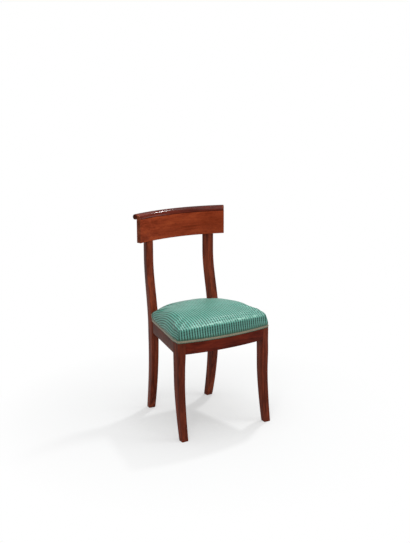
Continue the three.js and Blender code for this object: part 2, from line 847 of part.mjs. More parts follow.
function add(name, form, material) {
  const geometry = form.isBufferGeometry ? form : geometryOf(form);
  const mesh = new THREE.Mesh(geometry, material);
  mesh.name = name;
  chair.add(mesh);
}

function addPair(name, form, material) {
  const geometry = form.isBufferGeometry ? form : geometryOf(form);
  add(`${name}_right`, geometry, material);
  add(`${name}_left`, mirrored(geometry), material);
}

// What the pieces are cut by, each a clearance larger than the piece that fits there
const rebate = rebateBand();
const legSpace = bothSides(frontLegBody(seatGap));
const postSpace = bothSides(postBody(seatGap));
const pegHeights = [crestBottom + pegRise, crestBottom + pegRise + pegSpacing];
const pegHoles = pegHeights.flatMap((z) => bothSides(crestPeg(z, seatGap)));
const corners = [true, false];
const screwHoles = corners.flatMap((atFront) => corners.flatMap((intoSide) => (
  bothSides(blockScrew(atFront, intoSide, seatGap, screwSink + overrun))
)));

// Frame
add('front_rail', cut(frontRail([legSpace, rebate]), screwHoles), mahogany);
addPair('side_rail', cut(sideRail([postCorner(), rebate]), screwHoles), mahogany);
add('rear_rail', cut(rearRail([postSpace, rebate]), screwHoles), mahogany);
addPair('front_leg', cut(
  solidOf(frontLegBody()),
  solidOf(frontTenon(seatGap)),
  solidOf(sideTenons(seatGap)),
  rebate,
), mahogany);
addPair('back_post', cut(
  solidOf(postBody()),
  solidOf(sideTenons(seatGap)),
  solidOf(rearTenon(seatGap)),
  solidOf(lapSpace()),
  solidOf(lapBevel()),
  pegHoles,
), mahogany);

// Crest
add('crest_rail', cut(solidOf(crestBoard()), solidOf(crestRoll(seatGap, overrun)), pegHoles), mahogany);
add('crest_roll', crestRoll(), mahogany);
addPair('crest_peg_lower', crestPeg(pegHeights[0]), mahogany);
addPair('crest_peg_upper', crestPeg(pegHeights[1]), mahogany);

// Corner blocks and screws
const well = seatWell();
for (const atFront of corners) {
  const end = atFront ? 'front' : 'rear';
  addPair(`corner_block_${end}`, cornerBlock(atFront, well, [legSpace, postSpace, screwHoles]), paleWood);
  addPair(`screw_${end}_rail`, solidOf(blockScrew(atFront, false)), steel);
  addPair(`screw_${end}_side`, solidOf(blockScrew(atFront, true)), steel);
}

// Upholstery, from the webbing outward
['left', 'middle', 'right'].forEach((place, number) => {
  add(`webbing_lengthwise_${place}`, lengthwiseStrap(number), jute);
});
['front', 'middle', 'rear'].forEach((place, number) => {
  add(`webbing_crosswise_${place}`, crosswiseStrap(number), jute);
});
const innerNotches = postNotch(coverClearance + coverThickness + coverClearance);
add('hessian', hessianSheet(innerNotches), burlap);
add('horsehair_pad', horsehairPad(innerNotches), horsehair);
add('seat_cover', seatCover(), satinStripe);
add('gimp_front', gimpFront(), gimpBraid);
addPair('gimp_turnup', gimpTurnUp(), gimpBraid);
add('gimp_rear', gimpRear(), gimpBraid);

// Stand the chair on its own middle
const box = new THREE.Box3().setFromObject(chair);
chair.position.y = -(box.min.y + box.max.y) / 2;

export default chair;
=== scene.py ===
import math

import bmesh
import bpy
from mathutils import Matrix, Vector, noise
from mathutils.kdtree import KDTree


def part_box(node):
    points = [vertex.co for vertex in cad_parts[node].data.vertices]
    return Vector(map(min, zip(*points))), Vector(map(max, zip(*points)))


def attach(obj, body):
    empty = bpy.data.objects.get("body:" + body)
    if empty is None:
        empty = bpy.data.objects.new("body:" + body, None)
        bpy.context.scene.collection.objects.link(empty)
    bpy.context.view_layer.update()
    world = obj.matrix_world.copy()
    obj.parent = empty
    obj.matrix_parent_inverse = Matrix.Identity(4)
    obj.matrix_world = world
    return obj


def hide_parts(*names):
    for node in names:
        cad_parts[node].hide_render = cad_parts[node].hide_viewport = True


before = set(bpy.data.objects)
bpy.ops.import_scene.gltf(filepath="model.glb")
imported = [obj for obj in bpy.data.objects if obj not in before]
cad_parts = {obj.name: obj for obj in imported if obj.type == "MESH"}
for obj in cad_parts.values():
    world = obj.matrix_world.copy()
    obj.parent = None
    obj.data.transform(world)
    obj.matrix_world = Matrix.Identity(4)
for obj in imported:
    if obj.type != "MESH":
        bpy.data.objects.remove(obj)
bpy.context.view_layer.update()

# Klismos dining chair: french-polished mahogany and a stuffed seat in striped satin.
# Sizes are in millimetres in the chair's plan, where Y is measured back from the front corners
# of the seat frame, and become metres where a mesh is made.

MM = 0.001

# Seat frame
RAIL_TOP = 408
RAIL_BOTTOM = 353
RAIL_THICKNESS = 22
HALF_FRONT = 209.75
FRONT_BOW = 24
POST_SETBACK = 328
REBATE_DEPTH = 2
REBATE_BOTTOM = 399
SEAT_GAP = 0.3
ARRIS = 1.6
RAIL_ARRIS = 1.2
BOWED_STEPS = 60
STRAIGHT_STEPS = 12

# Front legs
FRONT_LEG_WIDTH = 30
FRONT_FOOT_WIDTH = 27.5
FRONT_LEG_DEPTH = 45
FRONT_FOOT_DEPTH = 26
FRONT_SWEEP = 31
FRONT_SWEEP_HEIGHT = 233
FRONT_SWEEP_POWER = 1.55
FRONT_TAPER_POWER = 0.8
BLOCK_BLEND = 60
SAWN_END_WEAR = 0.4
SWEEP_STEPS = 30
UPPER_STEPS = 20

# Back posts
POST_WIDTH = 30
POST_TOP_WIDTH = 30
POST_FOOT_WIDTH = 27.5
POST_DEPTH = 43
POST_TOP_DEPTH = 38
POST_FOOT_DEPTH = 25
POST_HALF_SPAN = 146
POST_TURN = math.radians(5)
POST_TOP_TURN = math.radians(10)
POST_TAPER_POWER = 0.6
FOOT_SWEEP = 38
FOOT_SWEEP_HEIGHT = 303
FOOT_SWEEP_POWER = 1.9
BACK_RAKE = 39.8
RAKE_START = 370
RAKE_END = 660
LAP_TOP = 809
LAP_CHAMFER = 9
FOOT_STEPS = 34
BLOCK_STEPS = 6
RAKE_STEPS = 40
NECK_STEPS = 6
LAP_STEPS = 4

# Crest tablet and its rolled top edge
CREST_BOTTOM = 732
CREST_HEIGHT = 117.5
CREST_THICKNESS = 20
CREST_HALF_CHORD = 198
CREST_SAGITTA = 37
CREST_PROUD = 4
CREASE_DROP = 20.5
CREASE_DEPTH = 0.9
CREASE_WIDTH = 2.2
BROW_DROP = 1.8
ROLL_RADIUS = 11
ROLL_SETBACK = 27
ROLL_PROUD = 3
ROLL_STEPS = 36
ROLL_END_ROUND = 1.4
CREST_STEPS = 72
BROW_STEPS = 10
SCOOP_STEPS = 10
BOARD_ARRIS = 1.6
# Faces that look more sideways than this, and the last of the top edge, show end grain
END_NORMAL = 0.8
END_BAND = 1.2

# Seat
COVER_THICKNESS = 1.5
HEM_BOTTOM = 399.3
POST_CLEARANCE = 0.6
HEM_CORNER = 4
COVER_CORNER = 9
CROWN_CORNER = 20
COVER_BULGE = 2.5
PAD_BOTTOM = 411.65
FRONT_WALL_TOP = 449
SIDE_WALL_TOP = 430
FRONT_SHOULDER_INSET = 10
SIDE_SHOULDER_INSET = 31
SHOULDER_TOP = 457
SIDE_EASE = 75
FRONT_ARCH = 5
FRONT_ARCH_END = 60
SIDE_ARCH = 23
SIDE_ARCH_RISE = (-20, 30)
SIDE_ARCH_LEAN = 0.85
REAR_ARCH = 6
REAR_ARCH_LENGTH = 20
ARCH_POWER = 0.8
SEAT_TOP = 482
CROWN_POWER = 3.0
CROWN_SHARES = (0.96, 0.92, 0.87, 0.82, 0.76, 0.69, 0.61, 0.52, 0.42, 0.31, 0.20, 0.09)
LEAST_TURN = math.radians(62)
# Along the front the shoulder turns straight back, and from here to here it comes to turn to the middle
TURN_TO_MIDDLE = (-5, 70)
POST_DIP = 24
POST_DIP_REACH = 95
POST_EDGE_REACH = 70
BOW_STEPS = 26
CORNER_STEPS = 6
SIDE_STEPS = 30
NOTCH_STEPS = (5, 6)
REAR_STEPS = 18
WALL_STEPS = 10
SHOULDER_STEPS = 9

# How the cover swells, folds at the front corners, and is uneven
REMESH_SIZE = 6
HELD_MARGIN = 4
SWELL_FRAMES = 20
SWELL_ROOM = 1.0
SWELL_CAP = 5
SWELL_FROM_POST = 22
SWELL_FROM_GIMP = 14
NEAR_POINTS = 8
FOLD_LOW = 1
FOLD_HIGH = 9
FOLD_WIDTH = 1.8
FOLD_DEPTH = 1.2
FOLD_ZONE = 12
CORNER_EASE = 20
LUMPS = ((42, 0.9), (17, 0.3))
LUMPS_FROM_POST = 15
LUMPS_FROM_GIMP = 10
TACK_PITCH = 21
TACK_DENT = 0.35

# How the cloth is laid: its faces look frontward or rearward beyond these angles from square
# to the sides, and its stripes keep to the sides' line up to this far back
FRONTWARD = -34.5
REARWARD = 50
FOLLOW_END = 110
FOLLOW_POWER = 3

# Gimp
GIMP_BOTTOM = 402
GIMP_HEIGHT = 7.8
GIMP_TOP = GIMP_BOTTOM + GIMP_HEIGHT
GIMP_THICKNESS = 1.4
TURN_UP_TOP = 434
TURN_UP_WIDTH = 7
# Shares of the braid's thickness and of its height, with a cord along each edge and in the middle
GIMP_SECTION = ((0.0, 0.0), (0.78, 0.03), (0.95, 0.15), (0.62, 0.27), (0.8, 0.38), (1.0, 0.5),
                (0.8, 0.62), (0.62, 0.73), (0.95, 0.85), (0.78, 0.97), (0.0, 1.0))
GIMP_REAR_STEPS = 60
TURN_UP_STEPS = 14

# Webbing and hessian
WEB_WIDTH = 50
WEB_THICKNESS = 1.2
WEB_PITCH = 92
WEB_INSET = 6
HESSIAN_BOTTOM = 410.55
HESSIAN_THICKNESS = 0.8
HESSIAN_INSET = 8
HESSIAN_RINGS = 14
HESSIAN_INNER = 0.08
HESSIAN_WAVE = 0.12
HESSIAN_WAVE_LENGTH = 26
STRAP_STEPS = 130
SELVEDGE = 0.25
SELVEDGE_FROM = 0.49
# Shares of the strap's half width at which its section has points
STRAP_SHARES = (-1, -0.97, -0.8, -0.4, 0, 0.4, 0.8, 0.97, 1)

# Plan places worked out from the sizes
BOW_RADIUS = (HALF_FRONT ** 2 + FRONT_BOW ** 2) / (2 * FRONT_BOW)
FRONT_LEG_X = HALF_FRONT - FRONT_LEG_WIDTH / 2
FRONT_LEG_INNER_X = HALF_FRONT - FRONT_LEG_WIDTH


def bow_y(x, out=0.0):
    """The bowed front face, or one parallel to it that lies further out"""
    return BOW_RADIUS - FRONT_BOW - math.sqrt((BOW_RADIUS + out) ** 2 - x * x)


FRONT_LEG_BACK_Y = bow_y(FRONT_LEG_X) + FRONT_LEG_DEPTH
POST_FRONT_Y = POST_SETBACK - POST_DEPTH / 2
POST_OUTER_X = POST_HALF_SPAN + POST_WIDTH / 2
SIDE_SLOPE = (HALF_FRONT - POST_OUTER_X) / (POST_FRONT_Y - FRONT_LEG_BACK_Y)
SIDE_TURN = math.atan(SIDE_SLOPE)
REAR_FACE_Y = POST_SETBACK + POST_DEPTH / 2 - REBATE_DEPTH
REAR_RAIL_FRONT_Y = REAR_FACE_Y - RAIL_THICKNESS
SEAT_MIDDLE_Y = (REAR_FACE_Y - FRONT_BOW) / 2
HEM_INSET = REBATE_DEPTH - SEAT_GAP - COVER_THICKNESS
SHIFT_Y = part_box("rear_rail")[1].y / MM - REAR_FACE_Y


def lerp(a, b, share):
    return a + (b - a) * share


def share_of(x, low, high):
    return min(1.0, max(0.0, (x - low) / (high - low)))


def smooth(x, low, high):
    share = share_of(x, low, high)
    return share * share * (3 - 2 * share)


def spaced(low, high, count):
    return [lerp(low, high, step / count) for step in range(count + 1)]


def curved(first, corner, last, steps):
    """Points on the curve that leaves one point towards the corner and comes from there to the other"""
    return [first * (1 - t) ** 2 + corner * 2 * t * (1 - t) + last * t * t for t in spaced(0, 1, steps)]


def side_line(y):
    """The line of the side rail's outer face"""
    return HALF_FRONT - (y - FRONT_LEG_BACK_Y) * SIDE_SLOPE


# Materials


def linear(code):
    """An sRGB hex value as a linear colour"""
    parts = [int(code[place:place + 2], 16) / 255 for place in (1, 3, 5)]
    return [c / 12.92 if c <= 0.04045 else ((c + 0.055) / 1.055) ** 2.4 for c in parts] + [1.0]


def put(tree, kind, inputs=None, stops=(), **settings):
    """Adds one node with its settings and colour stops. Each input takes a value, a socket to link,
    or a node, and then its first output in use is linked"""
    node = tree.nodes.new("ShaderNode" + kind)
    for name, value in settings.items():
        setattr(node, name, value)
    for socket, value in (inputs or {}).items():
        if isinstance(value, bpy.types.Node):
            value = next(output for output in value.outputs if output.enabled)
        if isinstance(value, bpy.types.NodeSocket):
            tree.links.new(value, node.inputs[socket])
        else:
            node.inputs[socket].default_value = value
    if stops:
        band = node.color_ramp.elements
        while len(band) < len(stops):
            band.new(0.5)
        for element, (place, colour) in zip(band, stops):
            element.position = place
            element.color = linear(colour) if isinstance(colour, str) else [colour] * 3 + [1.0]
    return node


def start(name):
    material = bpy.data.materials.new(name)
    material.use_nodes = True
    tree = material.node_tree
    tree.nodes.clear()
    return material, tree


def polished_mahogany(name, along, dark, middle, light, shine=0.06, gloss=0.04, haze=0.06):
    """French-polished mahogany: warm red-brown with long ribbons of figure and short dark pores,
    under a thin clear film that gives sharp highlights over a softer body"""
    material, tree = start(name)
    place = put(tree, "TexCoord").outputs["Object"]
    stretch = [0.09 if axis == along else 1.0 for axis in range(3)]
    grain = put(tree, "Mapping", {"Vector": place, "Scale": stretch})
    # Figure about 28 mm across, ribbons about 6 mm across, pores drawn 0.8 mm wide so that they show
    figure = put(tree, "TexNoise", {
        "Vector": grain, "Scale": 36.0, "Detail": 4.0, "Roughness": 0.55, "Distortion": 0.7})
    ribbon = put(tree, "TexNoise", {
        "Vector": grain, "Scale": 165.0, "Detail": 3.0, "Roughness": 0.6, "Distortion": 0.3})
    pore = put(tree, "TexNoise", {"Vector": grain, "Scale": 1250.0, "Detail": 1.0, "Roughness": 0.5})
    cloud = put(tree, "TexNoise", {"Vector": place, "Scale": 9.0, "Detail": 2.0})
    weight = put(tree, "Math", {0: figure, 1: 0.62}, operation="MULTIPLY")
    both = put(tree, "Math", {0: ribbon, 1: 0.38, 2: weight}, operation="MULTIPLY_ADD")
    body = put(tree, "ValToRGB", {"Fac": both}, [(0.36, dark), (0.5, middle), (0.64, light)])
    clouded = put(tree, "ValToRGB", {"Fac": cloud}, [(0.35, 0.0), (0.75, 0.45)])
    toned = put(tree, "Mix", {"Factor": clouded, "A": body, "B": linear(dark)}, data_type="RGBA")
    pores = put(tree, "ValToRGB", {"Fac": pore}, [(0.60, 0.0), (0.70, 0.55)])
    colour = put(tree, "Mix", {"Factor": pores, "A": toned, "B": linear("#2c0f09")}, data_type="RGBA")
    rough = put(tree, "ValToRGB", {"Fac": ribbon}, [(0.3, 0.26), (0.7, 0.38)])
    relief = put(tree, "Bump", {"Height": pore, "Strength": 0.12, "Distance": 0.2 * MM})
    wave = put(tree, "TexNoise", {"Vector": grain, "Scale": 55.0, "Detail": 1.0})
    film = put(tree, "Bump", {"Height": wave, "Strength": 0.10, "Distance": 1.5 * MM, "Normal": relief})
    shader = put(tree, "BsdfPrincipled", {
        "Base Color": colour, "Roughness": rough, "IOR": 1.5, "Normal": film,
        "Specular IOR Level": gloss, "Coat Weight": shine, "Coat Roughness": haze, "Coat IOR": 1.5,
    })
    put(tree, "OutputMaterial", {"Surface": shader})
    return material


upright_mahogany = polished_mahogany("mahogany_upright", 2, "#42190f", "#672c1c", "#8b3f27")
post_mahogany = polished_mahogany("mahogany_posts", 2, "#431a0f", "#6b2e1c", "#8f4328")
crosswise_mahogany = polished_mahogany("mahogany_crosswise", 0, "#401209", "#5d1e11", "#742a17")
lengthwise_mahogany = polished_mahogany("mahogany_lengthwise", 1, "#40190d", "#5b2b1a", "#6e3924", shine=0.03)
crest_mahogany = polished_mahogany("mahogany_crest", 0, "#6b260e", "#87361c", "#9c4524")
# The brow and the roll face up but are painted darker than the board's face: painted shade along the crest's
# top edge
brow_shaded_mahogany = polished_mahogany(
    "mahogany_brow_painted_shade", 0, "#3a0f06", "#51180b", "#62200f", shine=0.15, gloss=0.02, haze=0.07)
roll_shaded_mahogany = polished_mahogany(
    "mahogany_roll_painted_shade", 0, "#300f08", "#481910", "#5c2316", shine=0.10, gloss=0.02)
end_mahogany = polished_mahogany(
    "mahogany_end_grain", 0, "#512512", "#743a26", "#8a4c33", shine=0.03, gloss=0.02)
roll_end_mahogany = polished_mahogany(
    "mahogany_roll_end", 0, "#260d08", "#3a170f", "#4a2116", shine=0.03, gloss=0.02)
# The crease's faces are painted near black and matt: the painted shadow line of the crease
crease_shadow_mahogany = polished_mahogany(
    "mahogany_crease_painted_shadow", 0, "#240a05", "#340f08", "#45170c", shine=0.0, gloss=0.0)


def sawn_pine():
    """Sawn pine of the corner blocks: pale, dull and slightly furry from the saw"""
    material, tree = start("sawn_pine")
    place = put(tree, "TexCoord").outputs["Object"]
    grain = put(tree, "Mapping", {"Vector": place, "Scale": (0.2, 1.0, 1.0)})
    # Growth rings about 3 mm apart
    rings = put(tree, "TexNoise", {"Vector": grain, "Scale": 330.0, "Detail": 3.0, "Distortion": 0.4})
    colour = put(tree, "ValToRGB", {"Fac": rings}, [(0.35, "#8f6d42"), (0.6, "#b7955f")])
    relief = put(tree, "Bump", {"Height": rings, "Strength": 0.5, "Distance": 0.4 * MM})
    shader = put(tree, "BsdfPrincipled", {
        "Base Color": colour, "Roughness": 0.75, "IOR": 1.5, "Normal": relief})
    put(tree, "OutputMaterial", {"Surface": shader})
    return material


def dull_steel():
    """Steel of the old wood screws: dark, dull metal with a little brown tarnish"""
    material, tree = start("dull_steel")
    place = put(tree, "TexCoord").outputs["Object"]
    # Tarnish in patches of about 2 mm
    stain = put(tree, "TexNoise", {"Vector": place, "Scale": 500.0, "Detail": 3.0})
    colour = put(tree, "ValToRGB", {"Fac": stain}, [(0.4, "#8a8782"), (0.65, "#6a5a4a")])
    rough = put(tree, "ValToRGB", {"Fac": stain}, [(0.4, 0.38), (0.65, 0.6)])
    shader = put(tree, "BsdfPrincipled", {"Base Color": colour, "Roughness": rough, "Metallic": 1.0})
    put(tree, "OutputMaterial", {"Surface": shader})
    return material


def woven_jute(name, pitch, low, high, depth):
    """Plain-woven jute: coarse buff yarns over and under each other, uneven in tone, quite matt"""
    material, tree = start(name)
    place = put(tree, "TexCoord").outputs["Object"]
    axes = put(tree, "SeparateXYZ", {"Vector": place})
    wave = math.pi / (pitch * MM)
    weave = []
    for axis in ("X", "Y"):
        angle = put(tree, "Math", {0: axes.outputs[axis], 1: wave}, operation="MULTIPLY")
        weave.append(put(tree, "Math", {0: angle}, operation="SINE"))
    crossing = put(tree, "Math", {0: weave[0], 1: weave[1]}, operation="MULTIPLY")
    slub = put(tree, "TexNoise", {"Vector": place, "Scale": 260.0, "Detail": 3.0})
    height = put(tree, "Math", {0: crossing, 1: 0.5, 2: slub}, operation="MULTIPLY_ADD")
    colour = put(tree, "ValToRGB", {"Fac": height}, [(0.1, low), (0.8, high)])
    relief = put(tree, "Bump", {"Height": height, "Strength": 0.8, "Distance": depth * MM})
    shader = put(tree, "BsdfPrincipled", {
        "Base Color": colour, "Roughness": 0.9, "IOR": 1.5, "Normal": relief,
        "Sheen Weight": 0.2, "Sheen Roughness": 0.5,
    })
    put(tree, "OutputMaterial", {"Surface": shader})
    return material


def striped_satin():
    """Satin-striped furnishing silk: mint satin stripes that catch the light beside dark green ones
    broken into small squares. Its top is paler, partly faded by light and partly painted light; the walls
    below carry painted shade, darkest just above the braid, and a painted highlight runs pale along the front
    edge"""
    material, tree = start("striped_satin")
    cloth = put(tree, "UVMap", uv_map="cloth")
    axes = put(tree, "SeparateXYZ", {"Vector": cloth})
    turn = put(tree, "SeparateXYZ", {"Vector": put(tree, "UVMap", uv_map="turn")})
    place = put(tree, "TexCoord").outputs["Object"]
    # Stripes repeat every 10.8 mm, and the squares along them every 11.5 mm
    across = put(tree, "Math", {0: axes.outputs["X"], 1: 2 * math.pi / (10.8 * MM)}, operation="MULTIPLY")
    along = put(tree, "Math", {0: axes.outputs["Y"], 1: 2 * math.pi / (11.5 * MM)}, operation="MULTIPLY")
    stripe = put(tree, "Math", {0: across}, operation="COSINE")
    square = put(tree, "Math", {0: along}, operation="COSINE")
    in_stripe = put(tree, "MapRange", {"Value": stripe, "From Min": -0.2, "From Max": 0.15})
    in_square = put(tree, "MapRange", {"Value": square, "From Min": -0.6, "From Max": 0.0, "To Min": 0.2})
    dark_share = put(tree, "Math", {0: in_stripe, 1: in_square}, operation="MULTIPLY")
    # The paler top gives way to the walls' painted shade between 2 and 16 mm below the edge, unevenly in
    # patches of about 20 mm
    patches = put(tree, "TexNoise", {"Vector": place, "Scale": 50.0, "Detail": 3.0})
    uneven = put(tree, "Math", {0: patches, 1: 8 * MM, 2: turn.outputs["X"]}, operation="MULTIPLY_ADD")
    wall_shade = put(tree, "MapRange", {"Value": uneven, "From Min": 6 * MM, "From Max": 20 * MM})
    # The walls' painted shade is full along the front and falls to 0.35 of it from 10 to 60 mm behind the
    # front
    front_wall_weight = put(tree, "MapRange", {
        "Value": turn.outputs["Y"], "From Min": 10 * MM, "From Max": 60 * MM, "To Min": 1.0, "To Max": 0.35,
    })
    wall_shade = put(tree, "Math", {0: wall_shade, 1: front_wall_weight}, operation="MULTIPLY")
    broad = put(tree, "TexNoise", {"Vector": place, "Scale": 12.0, "Detail": 3.0})
    # Each tone is paler on the top, partly light-faded cloth and partly painted light, and darker on the
    # walls (kept), which is painted shade
    tones = []
    for faded_low, faded_high, kept_low, kept_high in (
            ("#46907e", "#549f8e", "#4d877a", "#5a9487"),
            ("#0a2f28", "#113b32", "#0a271f", "#113328"),
            ("#296658", "#347364", "#265043", "#2e5b4e")):
        faded = put(tree, "ValToRGB", {"Fac": broad}, [(0.3, faded_low), (0.7, faded_high)])
        kept = put(tree, "ValToRGB", {"Fac": broad}, [(0.3, kept_low), (0.7, kept_high)])
        tones.append(put(tree, "Mix", {"Factor": wall_shade, "A": faded, "B": kept}, data_type="RGBA"))
    ground, ribs, between = tones
    between = put(tree, "Mix", {"Factor": in_stripe, "A": ground, "B": between}, data_type="RGBA")
    woven = put(tree, "Mix", {"Factor": dark_share, "A": between, "B": ribs}, data_type="RGBA")
    # Painted highlight: a pale band about 8 mm wide along the front edge only, broken into patches of about
    # 10 mm
    below = put(tree, "Math", {0: turn.outputs["X"], 1: 1 * MM}, operation="SUBTRACT")
    away = put(tree, "Math", {0: below}, operation="ABSOLUTE")
    band = put(tree, "MapRange", {
        "Value": away, "From Min": 2 * MM, "From Max": 6 * MM,
        "To Min": 1.0, "To Max": 0.0})
    highlight_patches = put(tree, "TexNoise", {"Vector": place, "Scale": 95.0, "Detail": 2.0})
    front = put(tree, "MapRange", {
        "Value": turn.outputs["Y"], "From Min": 12 * MM, "From Max": 24 * MM, "To Min": 1.0, "To Max": 0.0,
    })
    painted_highlight = put(tree, "Math", {0: band, 1: front}, operation="MULTIPLY")
    highlight_patches = put(tree, "ValToRGB", {"Fac": highlight_patches}, [(0.42, 0.0), (0.62, 0.8)])
    painted_highlight = put(tree, "Math", {0: painted_highlight, 1: highlight_patches}, operation="MULTIPLY")
    cloth_with_highlight = put(tree, "Mix", {
        "Factor": painted_highlight, "A": woven, "B": linear("#8cbead")}, data_type="RGBA")
    # Painted shade: just above the braid the cloth is painted dim and olive
    level = put(tree, "SeparateXYZ", {"Vector": place}).outputs["Z"]
    dust = put(tree, "MapRange", {
        "Value": level, "From Min": (GIMP_TOP + 2) * MM, "From Max": (GIMP_TOP + 13) * MM,
        "To Min": 0.75, "To Max": 0.0})
    colour = put(tree, "Mix", {"Factor": dust, "A": cloth_with_highlight, "B": linear("#2c4e38")}, data_type="RGBA")
    # Threads drawn 0.9 mm apart, a little coarser than the real silk, so that they show close up
    thread = put(tree, "Math", {0: axes.outputs["Y"], 1: 2 * math.pi / (0.9 * MM)}, operation="MULTIPLY")
    rib = put(tree, "Math", {0: thread}, operation="SINE")
    height = put(tree, "Math", {0: rib, 1: 0.25, 2: dark_share}, operation="MULTIPLY_ADD")
    relief = put(tree, "Bump", {"Height": height, "Strength": 0.35, "Distance": 0.3 * MM})
    rough = put(tree, "ValToRGB", {"Fac": dark_share}, [(0.0, 0.40), (1.0, 0.62)])
    shader = put(tree, "BsdfPrincipled", {
        "Base Color": colour, "Roughness": rough, "IOR": 1.5, "Specular IOR Level": 0.4, "Normal": relief,
        "Sheen Weight": 0.25, "Sheen Roughness": 0.35, "Sheen Tint": linear("#e2ece4"),
    })
    put(tree, "OutputMaterial", {"Surface": shader})
    return material


def gimp_braid():
    """Narrow woven braid: grey-green cotton in slanting plaited yarns, matt with a slight sheen"""
    material, tree = start("gimp_braid")
    cloth = put(tree, "UVMap", uv_map="cloth")
    # Plaited yarns drawn 2.5 mm apart
    slanting = put(tree, "Mapping", {"Vector": cloth, "Rotation": (0, 0, math.radians(38))})
    yarns = put(tree, "TexWave", {
        "Vector": slanting, "Scale": 2 * math.pi / (20 * 2.5 * MM), "Distortion": 1.2, "Detail": 1.0,
    }, wave_type="BANDS", bands_direction="X").outputs["Fac"]
    place = put(tree, "TexCoord").outputs["Object"]
    dust = put(tree, "TexNoise", {"Vector": place, "Scale": 60.0, "Detail": 2.0})
    both = put(tree, "Math", {0: dust, 1: 0.5, 2: yarns}, operation="MULTIPLY_ADD")
    colour = put(tree, "ValToRGB", {"Fac": both}, [(0.2, "#4a4b3c"), (0.8, "#857f68"), (1.0, "#9c9079")])
    relief = put(tree, "Bump", {"Height": yarns, "Strength": 0.8, "Distance": 0.5 * MM})
    shader = put(tree, "BsdfPrincipled", {
        "Base Color": colour, "Roughness": 0.8, "IOR": 1.5, "Normal": relief,
        "Sheen Weight": 0.25, "Sheen Roughness": 0.4,
    })
    put(tree, "OutputMaterial", {"Surface": shader})
    return material


pine = sawn_pine()
steel = dull_steel()
webbing_jute = woven_jute("jute_webbing", 2.6, "#7c6238", "#b8996a", 0.6)
hessian_jute = woven_jute("hessian", 1.9, "#6d5632", "#a88a5a", 0.4)
satin = striped_satin()
braid = gimp_braid()

# Mesh making


def added(name, data):
    made = bpy.data.objects.new(name, data)
    bpy.context.scene.collection.objects.link(made)
    return made


def evaluated(made):
    return made.evaluated_get(bpy.context.evaluated_depsgraph_get())


def piece(name, points, faces, material, slot, replaced=(), crease=32, uv=None):
    """Makes one piece from plan points, smooth but for its edges sharper than the crease angle"""
    mesh = bpy.data.meshes.new(name)
    mesh.from_pydata([(x * MM, (y + SHIFT_Y) * MM, z * MM) for x, y, z in points], [], faces)
    if uv:
        layer = mesh.uv_layers.new(name="cloth")
        for corner in mesh.loops:
            layer.data[corner.index].uv = [value * MM for value in uv[corner.vertex_index]]
    work = bmesh.new()
    work.from_mesh(mesh)
    bmesh.ops.recalc_face_normals(work, faces=work.faces)
    for face in work.faces:
        face.smooth = True
    for edge in work.edges:
        edge.smooth = len(edge.link_faces) < 2 or edge.calc_face_angle() < math.radians(crease)
    work.to_mesh(mesh)
    work.free()
    made = added(name, mesh)
    mesh.materials.append(material)
    if replaced:
        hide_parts(*replaced)
    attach(made, "root")
    return made


def loft(rings):
    """Points and faces of a closed form from rings with one count of points"""
    count = len(rings[0])
    points = [point for ring in rings for point in ring]
    faces = []
    for row in range(len(rings) - 1):
        for side in range(count):
            following = (side + 1) % count
            faces.append((row * count + side, row * count + following,
                          (row + 1) * count + following, (row + 1) * count + side))
    faces.append(tuple(range(count))[::-1])
    faces.append(tuple(range(len(points) - count, len(points))))
    return points, faces


def rounded(corners, radius, steps=3):
    """A polygon with its corners rounded off, as one ring of points"""
    ring = []
    count = len(corners)
    for place, corner in enumerate(corners):
        here = Vector(corner)
        before = Vector(corners[place - 1]) - here
        after = Vector(corners[(place + 1) % count]) - here
        reach = min(radius, before.length * 0.45, after.length * 0.45)
        ring += curved(here + before.normalized() * reach, here, here + after.normalized() * reach, steps)
    return ring


def mirrored(points, faces):
    return [(-x, y, z) for x, y, z in points], [tuple(reversed(face)) for face in faces]


def pair(name, form, material, slot, nodes=None, **options):
    """The right piece and the left one that mirrors it"""
    for side, shape in (("right", form), ("left", mirrored(*form))):
        replaced = [f"{node}_{side}" for node in (nodes or [name])]
        piece(f"{name}_polished_{side}", *shape, material, slot, replaced, **options)


# Legs and posts


def taper(z, foot, seat, power):
    return lerp(foot, seat, min(1.0, z / RAIL_BOTTOM) ** power)


def turned(corners, centre, turn, z):
    cos, sin = math.cos(turn), math.sin(turn)
    return [(centre[0] + p[0] * cos - p[1] * sin, centre[1] + p[0] * sin + p[1] * cos, z) for p in corners]


def front_leg():
    bow_slant = math.tan(math.asin(FRONT_LEG_X / BOW_RADIUS))
    levels = [(z, 0.0) for z in spaced(0, FRONT_SWEEP_HEIGHT, SWEEP_STEPS)]
    levels += [(z, 0.0) for z in spaced(FRONT_SWEEP_HEIGHT, REBATE_BOTTOM, UPPER_STEPS)[1:]]
    levels += [(REBATE_BOTTOM, REBATE_DEPTH), (RAIL_TOP, REBATE_DEPTH)]
    rings = []
    for z, step in levels:
        drop = max(0.0, FRONT_SWEEP_HEIGHT - z) / FRONT_SWEEP_HEIGHT
        centre_y = FRONT_LEG_BACK_Y - FRONT_LEG_DEPTH / 2 - FRONT_SWEEP * drop ** FRONT_SWEEP_POWER
        depth = taper(z, FRONT_FOOT_DEPTH, FRONT_LEG_DEPTH, FRONT_TAPER_POWER) / 2
        width = taper(z, FRONT_FOOT_WIDTH, FRONT_LEG_WIDTH, FRONT_TAPER_POWER) / 2
        slant = bow_slant * smooth(z, RAIL_BOTTOM - BLOCK_BLEND, RAIL_BOTTOM)
        corners = [(width - step, -depth + slant * width + step), (width - step, depth),
                   (-width, depth), (-width, -depth - slant * width + step)]
        radius = ARRIS if z > 0 else ARRIS + SAWN_END_WEAR
        rings.append(turned(rounded(corners, radius), (FRONT_LEG_X, centre_y), 0.0, z))
    return loft(rings)


